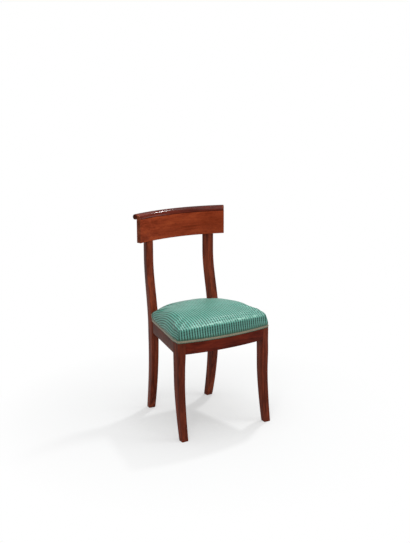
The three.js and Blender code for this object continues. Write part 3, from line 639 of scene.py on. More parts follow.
def post_y(z):
    drop = max(0.0, FOOT_SWEEP_HEIGHT - z) / FOOT_SWEEP_HEIGHT
    return POST_SETBACK + FOOT_SWEEP * drop ** FOOT_SWEEP_POWER + BACK_RAKE * smooth(z, RAKE_START, RAKE_END)


def post_x(z):
    return POST_HALF_SPAN - (post_y(z) - POST_SETBACK) * math.tan(POST_TURN)


def post_size(z):
    rise = smooth(z, RAIL_TOP, RAKE_END)
    depth = taper(z, POST_FOOT_DEPTH, POST_DEPTH, POST_TAPER_POWER) + (POST_TOP_DEPTH - POST_DEPTH) * rise
    width = taper(z, POST_FOOT_WIDTH, POST_WIDTH, POST_TAPER_POWER) + (POST_TOP_WIDTH - POST_WIDTH) * rise
    return depth, width, lerp(POST_TURN, POST_TOP_TURN, rise)


def post_point(z, out_share, back_share):
    depth, width, turn = post_size(z)
    x, y = out_share * width / 2, back_share * depth / 2
    return Vector((post_x(z) + x * math.cos(turn) - y * math.sin(turn),
                   post_y(z) + x * math.sin(turn) + y * math.cos(turn), z))


CREST_RADIUS = (CREST_HALF_CHORD ** 2 + CREST_SAGITTA ** 2) / (2 * CREST_SAGITTA)
CREST_HALF_ANGLE = math.asin(CREST_HALF_CHORD / CREST_RADIUS)
CREST_FACE_AT_POST = post_y(CREST_BOTTOM) - POST_TOP_DEPTH / 2 - CREST_PROUD
CREST_CENTRE_Y = CREST_FACE_AT_POST - math.sqrt(CREST_RADIUS ** 2 - post_x(CREST_BOTTOM) ** 2)


def back_post():
    """Curved from foot to lap, where its front is cut back to the crest's rear face"""
    lap_bottom = CREST_BOTTOM - SEAT_GAP
    plain = spaced(0, FOOT_SWEEP_HEIGHT, FOOT_STEPS)
    for low, high, steps in ((FOOT_SWEEP_HEIGHT, RAKE_START, BLOCK_STEPS), (RAKE_START, RAKE_END, RAKE_STEPS),
                             (RAKE_END, lap_bottom, NECK_STEPS)):
        plain += spaced(low, high, steps)[1:]
    lapped = [lap_bottom] + spaced(CREST_BOTTOM, LAP_TOP - LAP_CHAMFER, LAP_STEPS) + [LAP_TOP]
    levels = [(z, False) for z in plain] + [(z, True) for z in lapped]
    rings = []
    for z, lap in levels:
        depth, width, turn = post_size(z)
        chamfer = max(0.0, z - (LAP_TOP - LAP_CHAMFER))
        corners = [(width / 2, -depth / 2), (width / 2, depth / 2 - chamfer),
                   (-width / 2, depth / 2 - chamfer), (-width / 2, -depth / 2)]
        ring = turned(rounded(corners, ARRIS), (post_x(z), post_y(z)), turn, z)
        if lap:
            reach = CREST_RADIUS + CREST_THICKNESS + SEAT_GAP
            ring = [(x, max(y, CREST_CENTRE_Y + math.sqrt(reach ** 2 - x * x)), z) for x, y, z in ring]
        rings.append(ring)
    return loft(rings)


pair("front_leg", front_leg(), upright_mahogany, "mahogany")
pair("back_post", back_post(), post_mahogany, "mahogany")

# Rails


def rail_section(at):
    """The rail's section: at(inward, z) gives the point that far in from the outer face"""
    corners = [(RAIL_THICKNESS, RAIL_BOTTOM), (0, RAIL_BOTTOM), (0, REBATE_BOTTOM),
               (REBATE_DEPTH, REBATE_BOTTOM), (REBATE_DEPTH, RAIL_TOP), (RAIL_THICKNESS, RAIL_TOP)]
    return [at(p[0], p[1]) for p in rounded(corners, RAIL_ARRIS)]


def straight_between(first, last):
    return loft([[tuple(Vector(a).lerp(Vector(b), share)) for a, b in zip(first, last)]
                 for share in spaced(0, 1, STRAIGHT_STEPS)])


def front_rail():
    end = FRONT_LEG_INNER_X - SEAT_GAP
    return loft([rail_section(lambda inward, z, x=x: (x, bow_y(x, -inward), z))
                 for x in spaced(-end, end, BOWED_STEPS)])


def side_rail():
    def front_end(inward, z):
        y = FRONT_LEG_BACK_Y + SEAT_GAP
        return (side_line(y) - inward / math.cos(SIDE_TURN), y, z)

    def rear_end(inward, z):
        corner, turn = post_point(z, 1, -1), post_size(z)[2]
        y = corner.y - SEAT_GAP
        for _ in range(4):
            x = side_line(y) - inward / math.cos(SIDE_TURN)
            y = corner.y - SEAT_GAP - (corner.x - x) * math.tan(turn)
        return (x, y, z)

    return straight_between(rail_section(front_end), rail_section(rear_end))


def rear_rail():
    def at_end(side):
        def point(inward, z):
            corner, turn = post_point(z, -1, 1), post_size(z)[2]
            y = REAR_FACE_Y - inward
            x = corner.x + (corner.y - y) * math.tan(turn) - SEAT_GAP
            return (side * x, y, z)
        return rail_section(point)

    return straight_between(at_end(-1), at_end(1))


piece("front_rail_polished", *front_rail(), crosswise_mahogany, "mahogany", ["front_rail"])
pair("side_rail", side_rail(), lengthwise_mahogany, "mahogany")
piece("rear_rail_polished", *rear_rail(), crosswise_mahogany, "mahogany", ["rear_rail"])

# Crest


def around_crest(section, half_angle, end_round=1.0):
    """A section swept round the arc of the back, its ends slightly rounded"""
    middle = Vector((sum(p[0] for p in section), sum(p[1] for p in section))) / len(section)
    stops = [(angle, 0.0) for angle in spaced(half_angle, -half_angle, CREST_STEPS)[1:-1]]
    turn = end_round / CREST_RADIUS
    near = [(half_angle, end_round), (half_angle - 0.3 * turn, 0.3 * end_round), (half_angle - turn, 0.0)]
    stops = near + stops + [(-angle, inset) for angle, inset in reversed(near)]
    rings = []
    for angle, inset in stops:
        ring = []
        for p in section:
            arm = Vector(p) - middle
            moved = middle + arm * max(0.0, (arm.length - inset) / arm.length)
            radius = CREST_RADIUS + moved.x
            ring.append((-radius * math.sin(angle), CREST_CENTRE_Y + radius * math.cos(angle),
                         CREST_BOTTOM + moved.y))
        rings.append(ring)
    return loft(rings)


def crest_section():
    crease = CREST_HEIGHT - CREASE_DROP
    roll_z = CREST_HEIGHT - ROLL_RADIUS
    reach = ROLL_RADIUS + SEAT_GAP
    brow = curved(Vector((CREASE_DEPTH / 2, crease + CREASE_WIDTH)),
                  Vector((ROLL_RADIUS / 2, roll_z + ROLL_RADIUS / 2)),
                  Vector((ROLL_SETBACK - ROLL_RADIUS, CREST_HEIGHT - BROW_DROP)), BROW_STEPS)
    half_scoop = math.acos((ROLL_SETBACK - CREST_THICKNESS) / reach)
    scoop = [Vector((ROLL_SETBACK - reach * math.cos(a), roll_z + reach * math.sin(a)))
             for a in spaced(half_scoop, -half_scoop, SCOOP_STEPS)]
    board = [(0.0, 30.0), (0.0, 0.0), (CREST_THICKNESS, 0.0), (CREST_THICKNESS, 30.0)]
    bottom = rounded(board, BOARD_ARRIS)[4:12]
    section = [Vector((0.0, crease * 0.5)), Vector((0.0, crease - 0.5)), Vector((0.05, crease)),
               Vector((CREASE_DEPTH, crease + CREASE_WIDTH / 2))] + brow
    section += [Vector((CREST_THICKNESS, CREST_HEIGHT - BROW_DROP))] + scoop
    section += [Vector((CREST_THICKNESS, crease * 0.5))]
    return [tuple(p) for p in section] + [tuple(p) for p in reversed(bottom)]


def crest_roll():
    roll_z = CREST_HEIGHT - ROLL_RADIUS
    section = [(ROLL_SETBACK + ROLL_RADIUS * math.cos(a), roll_z + ROLL_RADIUS * math.sin(a))
               for a in spaced(0, 2 * math.pi, ROLL_STEPS)[1:]]
    half_angle = CREST_HALF_ANGLE + ROLL_PROUD / (CREST_RADIUS + ROLL_SETBACK)
    return around_crest(section, half_angle, ROLL_END_ROUND)


crest = piece("crest_rail_polished", *around_crest(crest_section(), CREST_HALF_ANGLE),
              crest_mahogany, "mahogany", ["crest_rail"], crease=28)
for finish in (crease_shadow_mahogany, brow_shaded_mahogany, end_mahogany):
    crest.data.materials.append(finish)
# Forward-looking faces just above the crease take the crease's painted shadow, the other faces above it the
# brow's painted shade, and sideways faces and the last of the top edge show end grain
for face in crest.data.polygons:
    above = face.center.z / MM - CREST_BOTTOM - (CREST_HEIGHT - CREASE_DROP)
    in_end_band = above > 0 and abs(face.center.x) / MM > CREST_HALF_CHORD - END_BAND
    if abs(face.normal.x) > END_NORMAL or in_end_band:
        face.material_index = 3
    elif above > 0:
        face.material_index = 1 if above < CREASE_WIDTH and face.normal.y < 0 else 2
# The roll takes the darker finish of painted shade, and its sideways faces take the darker end grain
roll = piece("crest_roll_polished", *crest_roll(), roll_shaded_mahogany, "mahogany", ["crest_roll"])
roll.data.materials.append(roll_end_mahogany)
for face in roll.data.polygons:
    face.material_index = int(abs(face.normal.x) > END_NORMAL)

# Pieces that keep their form from the frame, with their own finishes

KEPT_FINISHES = {
    "crest_peg": upright_mahogany,
    "corner_block": pine,
    "screw": steel,
}
for node_name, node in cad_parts.items():
    for beginning, finish in KEPT_FINISHES.items():
        if node_name.startswith(beginning):
            node.data.materials.clear()
            node.data.materials.append(finish)

# The seat's plan


def seat_half(out, corner, clearance):
    """Half the seat's outline with the notch for the post, from front middle to rear middle"""
    tip = Vector((HALF_FRONT + out, bow_y(HALF_FRONT + out, out)))
    bow = [Vector((x, bow_y(x, out))) for x in spaced(0, tip.x - corner, BOW_STEPS)]
    side_start = Vector((tip.x, tip.y + corner))
    bend = curved(bow[-1], tip, side_start, CORNER_STEPS)[1:]
    post_front = post_point(RAIL_TOP, 1, -1).y - clearance
    straight = [Vector((side_line(y) + out, y)) for y in spaced(FRONT_LEG_BACK_Y, post_front, SIDE_STEPS)]
    inner = post_point(RAIL_TOP, -1, -1)
    notch = Vector((inner.x - clearance, inner.y - clearance))
    rear_y = REAR_FACE_Y + out
    across = [straight[-1].lerp(notch, t) for t in spaced(0, 1, NOTCH_STEPS[0])[1:]]
    behind = Vector((post_point(RAIL_TOP, -1, 1).x - clearance, rear_y))
    inward = [notch.lerp(behind, t) for t in spaced(0, 1, NOTCH_STEPS[1])[1:]]
    rear = [Vector((x, rear_y)) for x in spaced(behind.x, 0, REAR_STEPS)[1:]]
    return bow + bend + straight + across + inward + rear


def seat_outline(out, corner, clearance=POST_CLEARANCE):
    half = seat_half(out, corner, clearance)
    return half + [Vector((-p.x, p.y)) for p in reversed(half[1:-1])]


def dip_at(x, y, z):
    """How far the seat's top lies lower near the posts, where the cover is drawn down round them"""
    away = math.hypot(abs(x) - POST_OUTER_X, y - REAR_FACE_Y)
    near = 1 - smooth(away, 0, POST_DIP_REACH)
    return POST_DIP * near * share_of(z, PAD_BOTTOM, SHOULDER_TOP)


def edge_form(x, y):
    """The edge's wall top, shoulder inset and shoulder top: firm in front, fuller along the sides"""
    along = share_of(y, 0, POST_FRONT_Y)
    by_post = 1 - smooth(math.hypot(abs(x) - POST_OUTER_X, y - POST_FRONT_Y), 0, POST_EDGE_REACH)
    side = smooth(y, 0, SIDE_EASE) * (1 - by_post)
    front_arch = FRONT_ARCH * math.cos(min(1.0, abs(x) / HALF_FRONT) * math.pi / 2) ** ARCH_POWER
    side_arch = SIDE_ARCH * math.sin(math.pi * along ** SIDE_ARCH_LEAN) ** ARCH_POWER
    rear_arch = REAR_ARCH * math.cos(min(1.0, abs(x) / POST_OUTER_X) * math.pi / 2) ** ARCH_POWER
    top = SHOULDER_TOP + front_arch * (1 - smooth(y, -FRONT_BOW, FRONT_ARCH_END))
    top += side_arch * smooth(y, *SIDE_ARCH_RISE)
    top += rear_arch * smooth(y, POST_FRONT_Y - REAR_ARCH_LENGTH, REAR_FACE_Y)
    return (lerp(FRONT_WALL_TOP, SIDE_WALL_TOP, side),
            lerp(FRONT_SHOULDER_INSET, SIDE_SHOULDER_INSET, side), top)


def wall_out(rise):
    return COVER_BULGE * math.sin(math.pi * rise) - HEM_INSET


def shoulder_turn(wall_top, inset, top, reach):
    """How far the shoulder turns inward, so that it runs on into the crown without a ridge"""
    crown_slope = (SEAT_TOP - top) * CROWN_POWER / reach
    share = crown_slope * inset / (top - wall_top)
    return math.acos(min(math.cos(LEAST_TURN), share / (1 - share) if share < 0.5 else 1.0))


def cushion_form(inside):
    """The stuffed seat's outer form, or one that lies a given distance inside it"""
    forms = [edge_form(p.x, p.y) for p in seat_outline(0, COVER_CORNER)]
    # The stuffing ends above the hessian, and only the cover's thickness reaches down to the rails
    lining = seat_outline(-HEM_INSET - COVER_THICKNESS, HEM_CORNER, POST_CLEARANCE + COVER_THICKNESS)
    rings = [[(p.x, p.y, PAD_BOTTOM) for p in lining], [(p.x, p.y, RAIL_TOP + SEAT_GAP) for p in lining]]
    rings.append([(p.x, p.y, RAIL_TOP + SEAT_GAP) for p in seat_outline(-HEM_INSET, HEM_CORNER)])
    for rise in spaced(0, 1, WALL_STEPS):
        outline = seat_outline(
            wall_out(rise) - inside * smooth(rise, 0, 0.4), lerp(HEM_CORNER, COVER_CORNER, rise))
        rings.append([(p.x, p.y, lerp(GIMP_TOP, forms[k][0], rise)) for k, p in enumerate(outline)])
    middle = Vector((0, SEAT_MIDDLE_Y))
    for share in spaced(0, 1, SHOULDER_STEPS)[1:]:
        outline = seat_outline(-HEM_INSET - inside, lerp(COVER_CORNER, CROWN_CORNER, share))
        ring = []
        for k, p in enumerate(outline):
            wall_top, inset, top = forms[k]
            turn = shoulder_turn(wall_top, inset, top, (middle - p).length)
            inward = (1 - math.cos(share * turn)) / (1 - math.cos(turn))
            upward = math.sin(share * turn) / math.sin(turn)
            back = Vector((0, 1)).lerp((middle - p).normalized(), smooth(p.y, *TURN_TO_MIDDLE)).normalized()
            drawn = p + back * inset * inward
            ring.append((drawn.x, drawn.y, wall_top + (top - inside - wall_top) * upward))
        rings.append(ring)
    last = [Vector(p[:2]) for p in rings[-1]]
    for share in CROWN_SHARES:
        ring = []
        for k, p in enumerate(last):
            arm = p - middle
            circle = arm.normalized() * (HALF_FRONT + POST_OUTER_X) / 2
            drawn = middle + arm.lerp(circle, 1 - share) * share
            top = forms[k][2] - inside
            ring.append((drawn.x, drawn.y, top + (SEAT_TOP - inside - top) * (1 - share ** CROWN_POWER)))
        rings.append(ring)
    return [[(x, y, z - dip_at(x, y, z)) for x, y, z in ring] for ring in rings]


def from_posts(x, y):
    """How far a place on the seat lies from the notch round the nearer back post"""
    inner = post_point(RAIL_TOP, -1, -1)
    beside = max(0.0, inner.x - POST_CLEARANCE - abs(x))
    before = max(0.0, POST_FRONT_Y - POST_CLEARANCE - y)
    return math.hypot(beside, before)


def plan_place(co):
    return co.x / MM, co.y / MM - SHIFT_Y, co.z / MM


def swell(made):
    """Lets the cover swell over its stuffing: an evenly meshed copy is run as cloth under pressure,
    held along its hem and round the posts, and its capped movement is carried to the piece"""
    scene = bpy.context.scene
    source = added("cover_source", made.data)
    remesh = source.modifiers.new("even_faces", "REMESH")
    remesh.mode = "VOXEL"
    remesh.voxel_size = REMESH_SIZE * MM
    even = bpy.data.meshes.new_from_object(evaluated(source))
    bpy.data.objects.remove(source)
    cloth_piece = added("cover_cloth", even)
    held = cloth_piece.vertex_groups.new(name="held")
    for vertex in even.vertices:
        x, y, z = plan_place(vertex.co)
        if z < GIMP_TOP + HELD_MARGIN or from_posts(x, y) < HELD_MARGIN:
            held.add([vertex.index], 1.0, "REPLACE")
    cloth = cloth_piece.modifiers.new("cover_cloth", "CLOTH")
    cloth.settings.quality = 5
    cloth.settings.mass = 0.3
    cloth.settings.tension_stiffness = 12
    cloth.settings.compression_stiffness = 12
    cloth.settings.bending_stiffness = 1.5
    cloth.settings.use_pressure = True
    cloth.settings.uniform_pressure_force = 4
    cloth.settings.effector_weights.gravity = 0
    cloth.settings.vertex_group_mass = held.name
    cloth.point_cache.frame_start = 1
    cloth.point_cache.frame_end = SWELL_FRAMES
    for number in range(1, SWELL_FRAMES + 1):
        scene.frame_set(number)
    after = evaluated(cloth_piece).data.vertices
    tree = KDTree(len(even.vertices))
    moves = []
    for vertex in even.vertices:
        move = after[vertex.index].co - vertex.co
        moves.append(move * min(1.0, SWELL_CAP * MM / max(move.length, 1e-9)))
        tree.insert(vertex.co, vertex.index)
    tree.balance()
    for vertex in made.data.vertices:
        x, y, z = plan_place(vertex.co)
        free = smooth(from_posts(x, y), 0, SWELL_FROM_POST) * smooth(z, GIMP_TOP, GIMP_TOP + SWELL_FROM_GIMP)
        near = [(1 / (distance + 0.5 * MM), number)
                for _, number, distance in tree.find_n(vertex.co, NEAR_POINTS)]
        total = sum(weight for weight, number in near)
        vertex.co += free * sum((moves[number] * weight for weight, number in near), Vector()) / total
    scene.frame_set(1)
    bpy.data.objects.remove(cloth_piece)
    bpy.data.meshes.remove(even)


def fold_line(z):
    """How far behind a front corner the cover is folded: the front wraps round the corner to there"""
    return lerp(FOLD_LOW, FOLD_HIGH, share_of(z, GIMP_TOP, SHOULDER_TOP))


def corner_fold(x, y, z):
    """How far the cover sinks at the fold that takes up its fullness at a front corner"""
    width = (y - fold_line(z)) / FOLD_WIDTH
    at_corner = smooth(abs(x), HALF_FRONT - FOLD_ZONE, HALF_FRONT - FOLD_ZONE / 3)
    low = 1 - smooth(z, FRONT_WALL_TOP - 6, SHOULDER_TOP)
    return FOLD_DEPTH * math.exp(-width * width) * at_corner * low


def stuff_by_hand(made):
    """The slight unevenness of hand stuffing, the corner folds, and small dents where the hem is tacked"""
    mesh = made.data
    for vertex, normal in zip(mesh.vertices, [v.normal.copy() for v in mesh.vertices]):
        x, y, z = plan_place(vertex.co)
        if z < GIMP_TOP or normal.z < -0.5:
            continue
        beside = smooth(from_posts(x, y), 0, LUMPS_FROM_POST)
        free = beside * smooth(z, GIMP_TOP, GIMP_TOP + LUMPS_FROM_GIMP)
        lumps = sum(noise.noise(Vector((x, y, z)) / size) * height for size, height in LUMPS)
        tacked = smooth(z, GIMP_TOP - 2, GIMP_TOP + 3) * (1 - smooth(z, GIMP_TOP + 3, GIMP_TOP + 16))
        dents = TACK_DENT * tacked * math.sin((x + y) * 2 * math.pi / TACK_PITCH)
        vertex.co += normal * (lumps * free + dents * beside - corner_fold(x, y, z)) * MM


def subdivided(made):
    """Gives the piece one subdivision, with its sharp edges kept"""
    work = bmesh.new()
    work.from_mesh(made.data)
    crease = work.edges.layers.float.new("crease_edge")
    for edge in work.edges:
        edge[crease] = 0.0 if edge.smooth else 0.9
    work.to_mesh(made.data)
    work.free()
    modifier = made.modifiers.new("finer", "SUBSURF")
    modifier.levels = modifier.render_levels = 1
    modifier.use_limit_surface = False
    finer = bpy.data.meshes.new_from_object(evaluated(made))
    made.modifiers.remove(modifier)
    made.data = finer
    finer.name = made.name


def cloth_place(x, y, z, wall):
    """Where a point of the seat lies on the flat cloth: across its stripes, and along them.
    Over the rounded shoulder the cloth runs as far as the straight line across it"""
    wall_top, inset, shoulder = edge_form(x, y)
    half = side_line(max(y, FRONT_LEG_BACK_Y))
    follow = (HALF_FRONT - half) * (1 - smooth(y, FOLLOW_END, POST_FRONT_Y))
    x += math.copysign(follow * min(1.0, abs(x) / half) ** FOLLOW_POWER, x)
    drop = max(0.0, shoulder - dip_at(x, y, shoulder) - z)
    height = shoulder - wall_top
    bend = min(drop, height)
    run = inset * math.sqrt(1 - (1 - bend / height) ** 2)
    from_side, from_front = half - abs(x), y - bow_y(min(abs(x), HALF_FRONT))
    extra = math.hypot(run, bend) - run + drop - bend
    extra *= 1 - smooth(min(from_side, from_front), inset, inset + CORNER_EASE)
    if wall == "rear":
        return (x, y + extra)
    if wall == "wrapped":
        return (x + math.copysign(max(0.0, y - FOLD_LOW), x), y - extra)
    eased = smooth(from_front - from_side, -CORNER_EASE, CORNER_EASE)
    sideways = lerp(float(wall == "side"), eased, smooth(z, FRONT_WALL_TOP, SHOULDER_TOP))
    return (x + math.copysign(extra * sideways, x), y - extra * (1 - sideways))


def edge_place(x, y, z):
    """How far below its top edge the cover is, and how far behind the front of the seat"""
    shoulder = edge_form(x, y)[2]
    return (shoulder - dip_at(x, y, shoulder) - z, y - bow_y(min(abs(x), HALF_FRONT)))


def lay_cloth(made):
    """Gives each face of the seat its place on the cloth, with a seam at each corner"""
    mesh = made.data
    cloth = mesh.uv_layers.new(name="cloth")
    turn = mesh.uv_layers.new(name="turn")
    for face in mesh.polygons:
        angle = math.degrees(math.atan2(face.normal.y, abs(face.normal.x)))
        x, y, z = plan_place(face.center)
        wrapped = abs(x) > HALF_FRONT - FOLD_ZONE and y < fold_line(z) and z < SHOULDER_TOP
        wall = "front" if angle < FRONTWARD else "side" if angle < REARWARD else "rear"
        wall = "wrapped" if wrapped else wall
        for corner in face.loop_indices:
            x, y, z = plan_place(mesh.vertices[mesh.loops[corner].vertex_index].co)
            cloth.data[corner].uv = [value * MM for value in cloth_place(x, y, z, wall)]
            turn.data[corner].uv = [value * MM for value in edge_place(x, y, z)]


def seat_cushion():
    form = loft(cushion_form(SWELL_ROOM))
    made = piece("seat_cushion", *form, satin, "striped_satin", ["seat_cover", "horsehair_pad"], crease=50)
    swell(made)
    subdivided(made)
    stuff_by_hand(made)
    lay_cloth(made)


seat_cushion()

# Gimp and hem


def runs(path):
    """How far along the path each of its points lies"""
    lengths = [0.0]
    for before, after in zip(path, path[1:]):
        lengths.append(lengths[-1] + (after[0] - before[0]).length)
    return lengths


def gimp_run(path, name, nodes):
    """Braid along a path of plan points, each with its outward and upward directions"""
    rings, places = [], []
    for (point, out, up), run in zip(path, runs(path)):
        rings.append([point + out * GIMP_THICKNESS * thick + up * high for thick, high in GIMP_SECTION])
        places += [(run, up.length * high) for _, high in GIMP_SECTION]
    piece(name, *loft(rings), braid, "gimp_braid", nodes, crease=50, uv=places)


def round_frame(out):
    """The path along the sides and front, as plan points with their outward directions"""
    half = seat_half(out, HEM_CORNER, POST_CLEARANCE)[:BOW_STEPS + CORNER_STEPS + SIDE_STEPS + 2]
    whole = [Vector((-p.x, p.y)) for p in reversed(half[1:])] + half
    path = []
    for number, p in enumerate(whole):
        ahead = (whole[min(len(whole) - 1, number + 1)] - whole[max(0, number - 1)]).normalized()
        path.append((p, Vector((ahead.y, -ahead.x, 0))))
    return path


def across_rear(out):
    end = post_point(HEM_BOTTOM, -1, 1).x - POST_CLEARANCE
    return [(Vector((x, REAR_FACE_Y + out)), Vector((0, 1, 0))) for x in spaced(end, -end, GIMP_REAR_STEPS)]


def turn_up(side):
    """The path of the short length of braid turned up against a back post"""
    path = []
    for z in spaced(GIMP_TOP + SEAT_GAP, TURN_UP_TOP, TURN_UP_STEPS):
        y = post_point(z, 1, -1).y - POST_CLEARANCE
        rise = share_of(z, GIMP_TOP, TURN_UP_TOP)
        x = side_line(y) + lerp(wall_out(0.6 * rise), COVER_BULGE, rise) + SEAT_GAP
        path.append((Vector((side * x, y, z)), Vector((side, 0, 0)),
                     Vector((side * TURN_UP_WIDTH * SIDE_SLOPE, -TURN_UP_WIDTH, 0))))
    return path


def standing(path):
    return [(Vector((p.x, p.y, GIMP_BOTTOM)), out, Vector((0, 0, GIMP_HEIGHT))) for p, out in path]


gimp_run(standing(round_frame(SEAT_GAP)), "gimp_braid_front", ["gimp_front"])
gimp_run(standing(across_rear(SEAT_GAP)), "gimp_braid_rear", ["gimp_rear"])
gimp_run(turn_up(1), "gimp_braid_turned_up_right", ["gimp_turnup_right"])
gimp_run(turn_up(-1), "gimp_braid_turned_up_left", ["gimp_turnup_left"])


def hem(name, path):
    """The cover's hem in the rebate: one thickness of cloth below the braid"""
    rings, places = [], []
    inner = REBATE_DEPTH - SEAT_GAP / 2 - HEM_INSET
    for (p, out), run in zip(path, runs(path)):
        ring = []
        for inward, z in ((inner, HEM_BOTTOM), (0, HEM_BOTTOM), (0, RAIL_TOP), (inner, RAIL_TOP)):
            ring.append((p.x - out.x * inward, p.y - out.y * inward, z))
            places.append((run, z - HEM_BOTTOM))
        rings.append(ring)
    made = piece(name, *loft(rings), satin, "striped_satin", crease=50, uv=places)
    # The whole hem is set far below the edge on the turn layer, so it takes the walls' darkest painted shade,
    # for the shadow in the rebate under the braid
    turn = made.data.uv_layers.new(name="turn")
    for corner in turn.data:
        corner.uv = [(SHOULDER_TOP - HEM_BOTTOM) * MM, 0]


hem("cover_hem_front", round_frame(-HEM_INSET))
hem("cover_hem_rear", across_rear(-HEM_INSET))

# Webbing and hessian

WEB_MIDDLE_Y = (bow_y(0, -RAIL_THICKNESS) + REAR_RAIL_FRONT_Y) / 2
WEB_BASE = RAIL_TOP + SEAT_GAP
WEB_LIFT = (WEB_THICKNESS + SEAT_GAP) / 2
WEB_PLACES = (-WEB_PITCH, 0, WEB_PITCH)


def strap_level(along, first_rail, last_rail, crossings, over_first):
    """The strap's height above the rails: up and down over the straps that it crosses"""
    half = WEB_WIDTH / 2 + SEAT_GAP
    stops = [(first_rail, 0.0)]
    for number, place in enumerate(crossings):
        level = WEB_LIFT if (number % 2 == 0) == over_first else -WEB_LIFT
        stops += [(place - half, level), (place + half, level)]
    stops.append((last_rail, 0.0))
    for (before, low), (after, high) in zip(stops, stops[1:]):
        if before <= along <= after:
            return lerp(low, high, smooth(along, before, after))
    return 0.0


def web_strap(name, node, start_at, end_at, levels, turn):
    """One strap; turn places a point given along and across it"""
    across = [share * WEB_WIDTH / 2 for share in STRAP_SHARES]
    rings = []
    for along in spaced(start_at, end_at, STRAP_STEPS):
        z = WEB_BASE + levels(along)
        thin = [SELVEDGE if abs(w) > WEB_WIDTH * SELVEDGE_FROM else 0.0 for w in across]
        under = [(w, z + t) for w, t in zip(across, thin)]
        over = [(w, z + WEB_THICKNESS - t) for w, t in zip(reversed(across), reversed(thin))]
        rings.append([turn(along, w) + (height,) for w, height in under + over])
    piece(name, *loft(rings), webbing_jute, "jute_webbing", [node], crease=40)


for number, (x, word) in enumerate(zip(WEB_PLACES, ("left", "middle", "right"))):
    web_strap(
        f"jute_strap_lengthwise_{word}", f"webbing_lengthwise_{word}",
        bow_y(abs(x) + WEB_WIDTH / 2) + WEB_INSET, REAR_FACE_Y - WEB_INSET,
        lambda along, x=x, number=number: strap_level(
            along, bow_y(x, -RAIL_THICKNESS), REAR_RAIL_FRONT_Y,
            [WEB_MIDDLE_Y + place for place in WEB_PLACES], number % 2 == 0),
        lambda along, across, x=x: (x + across, along))
for number, (place, word) in enumerate(zip(WEB_PLACES, ("front", "middle", "rear"))):
    y = WEB_MIDDLE_Y + place
    rail_face = side_line(y + WEB_WIDTH / 2)
    web_strap(
        f"jute_strap_crosswise_{word}", f"webbing_crosswise_{word}",
        -rail_face + WEB_INSET, rail_face - WEB_INSET,
        lambda along, inner=rail_face - RAIL_THICKNESS, number=number: strap_level(
            along, -inner, inner, WEB_PLACES, number % 2 == 1),
        lambda along, across, y=y: (along, y + across))


def hessian_sheet():
    """Hessian stretched over the webbing, cut round the posts, and slightly uneven between the straps"""
    outline = seat_outline(-HESSIAN_INSET, HEM_CORNER, POST_CLEARANCE * 2 + COVER_THICKNESS)
    middle = Vector((0, SEAT_MIDDLE_Y))
    shares = spaced(1, HESSIAN_INNER, HESSIAN_RINGS)
    levels = [(share, HESSIAN_BOTTOM) for share in reversed(shares)]
    levels += [(share, HESSIAN_BOTTOM + HESSIAN_THICKNESS) for share in shares]
    rings = []
    for share, level in levels:
        ring = []
        for p in outline:
            spot = middle + (p - middle) * share
            wave = HESSIAN_WAVE * noise.noise(Vector((spot.x, spot.y, 0)) / HESSIAN_WAVE_LENGTH)
            ring.append((spot.x, spot.y, level + wave))
        rings.append(ring)
    made = piece("hessian_sheet", *loft(rings), hessian_jute, "hessian", ["hessian"], crease=40)
    straps = [f"jute_strap_lengthwise_{word}" for word in ("left", "middle", "right")]
    straps += [f"jute_strap_crosswise_{word}" for word in ("front", "middle", "rear")]


hessian_sheet()

# Room, lamps and camera


def lamp(name, place, target, size, power):
    """A round soft lamp, its place and size in metres and its power in watts"""
    data = bpy.data.lights.new(name, "AREA")
    data.shape = "DISK"
    data.size = size
    data.energy = power
    made = added(name, data)
    made.location = place
    made.rotation_euler = (Vector(target) - Vector(place)).to_track_quat("-Z", "Y").to_euler()


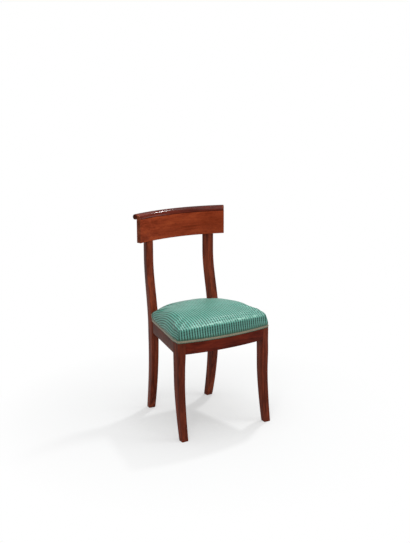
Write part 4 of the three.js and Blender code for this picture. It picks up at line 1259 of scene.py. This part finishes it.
def room():
    """A pale floor that fades into a white backdrop"""
    mesh = bpy.data.meshes.new("studio_floor")
    work = bmesh.new()
    bmesh.ops.create_circle(work, cap_ends=True, segments=96, radius=14.0)
    work.to_mesh(mesh)
    work.free()
    floor = added("studio_floor", mesh)
    material, tree = start("pale_studio_floor")
    place = put(tree, "TexCoord").outputs["Object"]
    far = put(tree, "VectorMath", {0: place}, operation="LENGTH")
    # Seen by the camera the floor glows: painted light that lifts the chair's shadow near it to a pale grey,
    # rising to full white beyond 0.9 m where the floor meets the backdrop. The camera is also shown a paler
    # grey than the floor throws back onto the chair
    glow_by_distance = put(tree, "MapRange", {"Value": far, "From Min": 0.25, "From Max": 0.9, "To Min": 0.4})
    seen = put(tree, "LightPath").outputs["Is Camera Ray"]
    tone = put(tree, "Mix", {
        "Factor": seen, "A": linear("#c0c1c1"), "B": linear("#d9dada")}, data_type="RGBA")
    paint = put(tree, "BsdfDiffuse", {"Color": tone})
    share = put(tree, "Math", {0: glow_by_distance, 1: seen}, operation="MULTIPLY")
    white = put(tree, "Emission")
    mixed = put(tree, "MixShader", {0: share, 1: paint, 2: white})
    put(tree, "OutputMaterial", {"Surface": mixed})
    mesh.materials.append(material)

    world = bpy.data.worlds.new("studio")
    bpy.context.scene.world = world
    world.use_nodes = True
    sky = world.node_tree
    sky.nodes.clear()
    rays = put(sky, "LightPath")
    seen = put(sky, "Math", {
        0: rays.outputs["Is Camera Ray"], 1: rays.outputs["Is Glossy Ray"],
    }, operation="MAXIMUM")
    seen = put(sky, "Math", {0: seen, 1: rays.outputs["Is Transmission Ray"]}, operation="MAXIMUM")
    light = put(sky, "MapRange", {"Value": seen, "To Min": 0.52, "To Max": 1.0})
    backdrop = put(sky, "Background", {"Color": (1, 1, 1, 1), "Strength": light})
    put(sky, "OutputWorld", {"Surface": backdrop})


room()
# Two windows and a ceiling light the whole chair; the small softbox draws the streak on the crest's top edge
lamp("window_left", (-1.9, -2.3, 2.2), (0, 0, 0.45), 1.3, 33)
lamp("window_right", (2.3, -1.5, 1.9), (0, 0, 0.45), 1.5, 22)
lamp("ceiling", (-0.2, -0.5, 2.9), (0, 0, 0.4), 2.2, 32)
lamp("small_softbox", (1.27, 0.60, 2.78), (-0.09, 0.15, 0.84), 0.22, 30)

IMAGE_SIZE = (410, 543)
FOCAL_PIXELS = 930.67
CAMERA_PLACE = (-1.852, -3.1600, 1.5464)
CAMERA_DOWN = math.radians(14.207)
CAMERA_HEADING = math.radians(30.67)
CAMERA_ROLL = math.radians(-0.12)

camera_data = bpy.data.cameras.new("camera")
camera_data.sensor_width = 36
camera_data.lens = FOCAL_PIXELS / max(IMAGE_SIZE) * camera_data.sensor_width
camera = added("camera", camera_data)
camera.matrix_world = (
    Matrix.Translation(CAMERA_PLACE)
    @ Matrix.Rotation(-CAMERA_HEADING, 4, "Z")
    @ Matrix.Rotation(math.pi / 2 - CAMERA_DOWN, 4, "X")
    @ Matrix.Rotation(CAMERA_ROLL, 4, "Z")
)
bpy.context.scene.camera = camera
bpy.context.scene.view_settings.view_transform = "Standard"
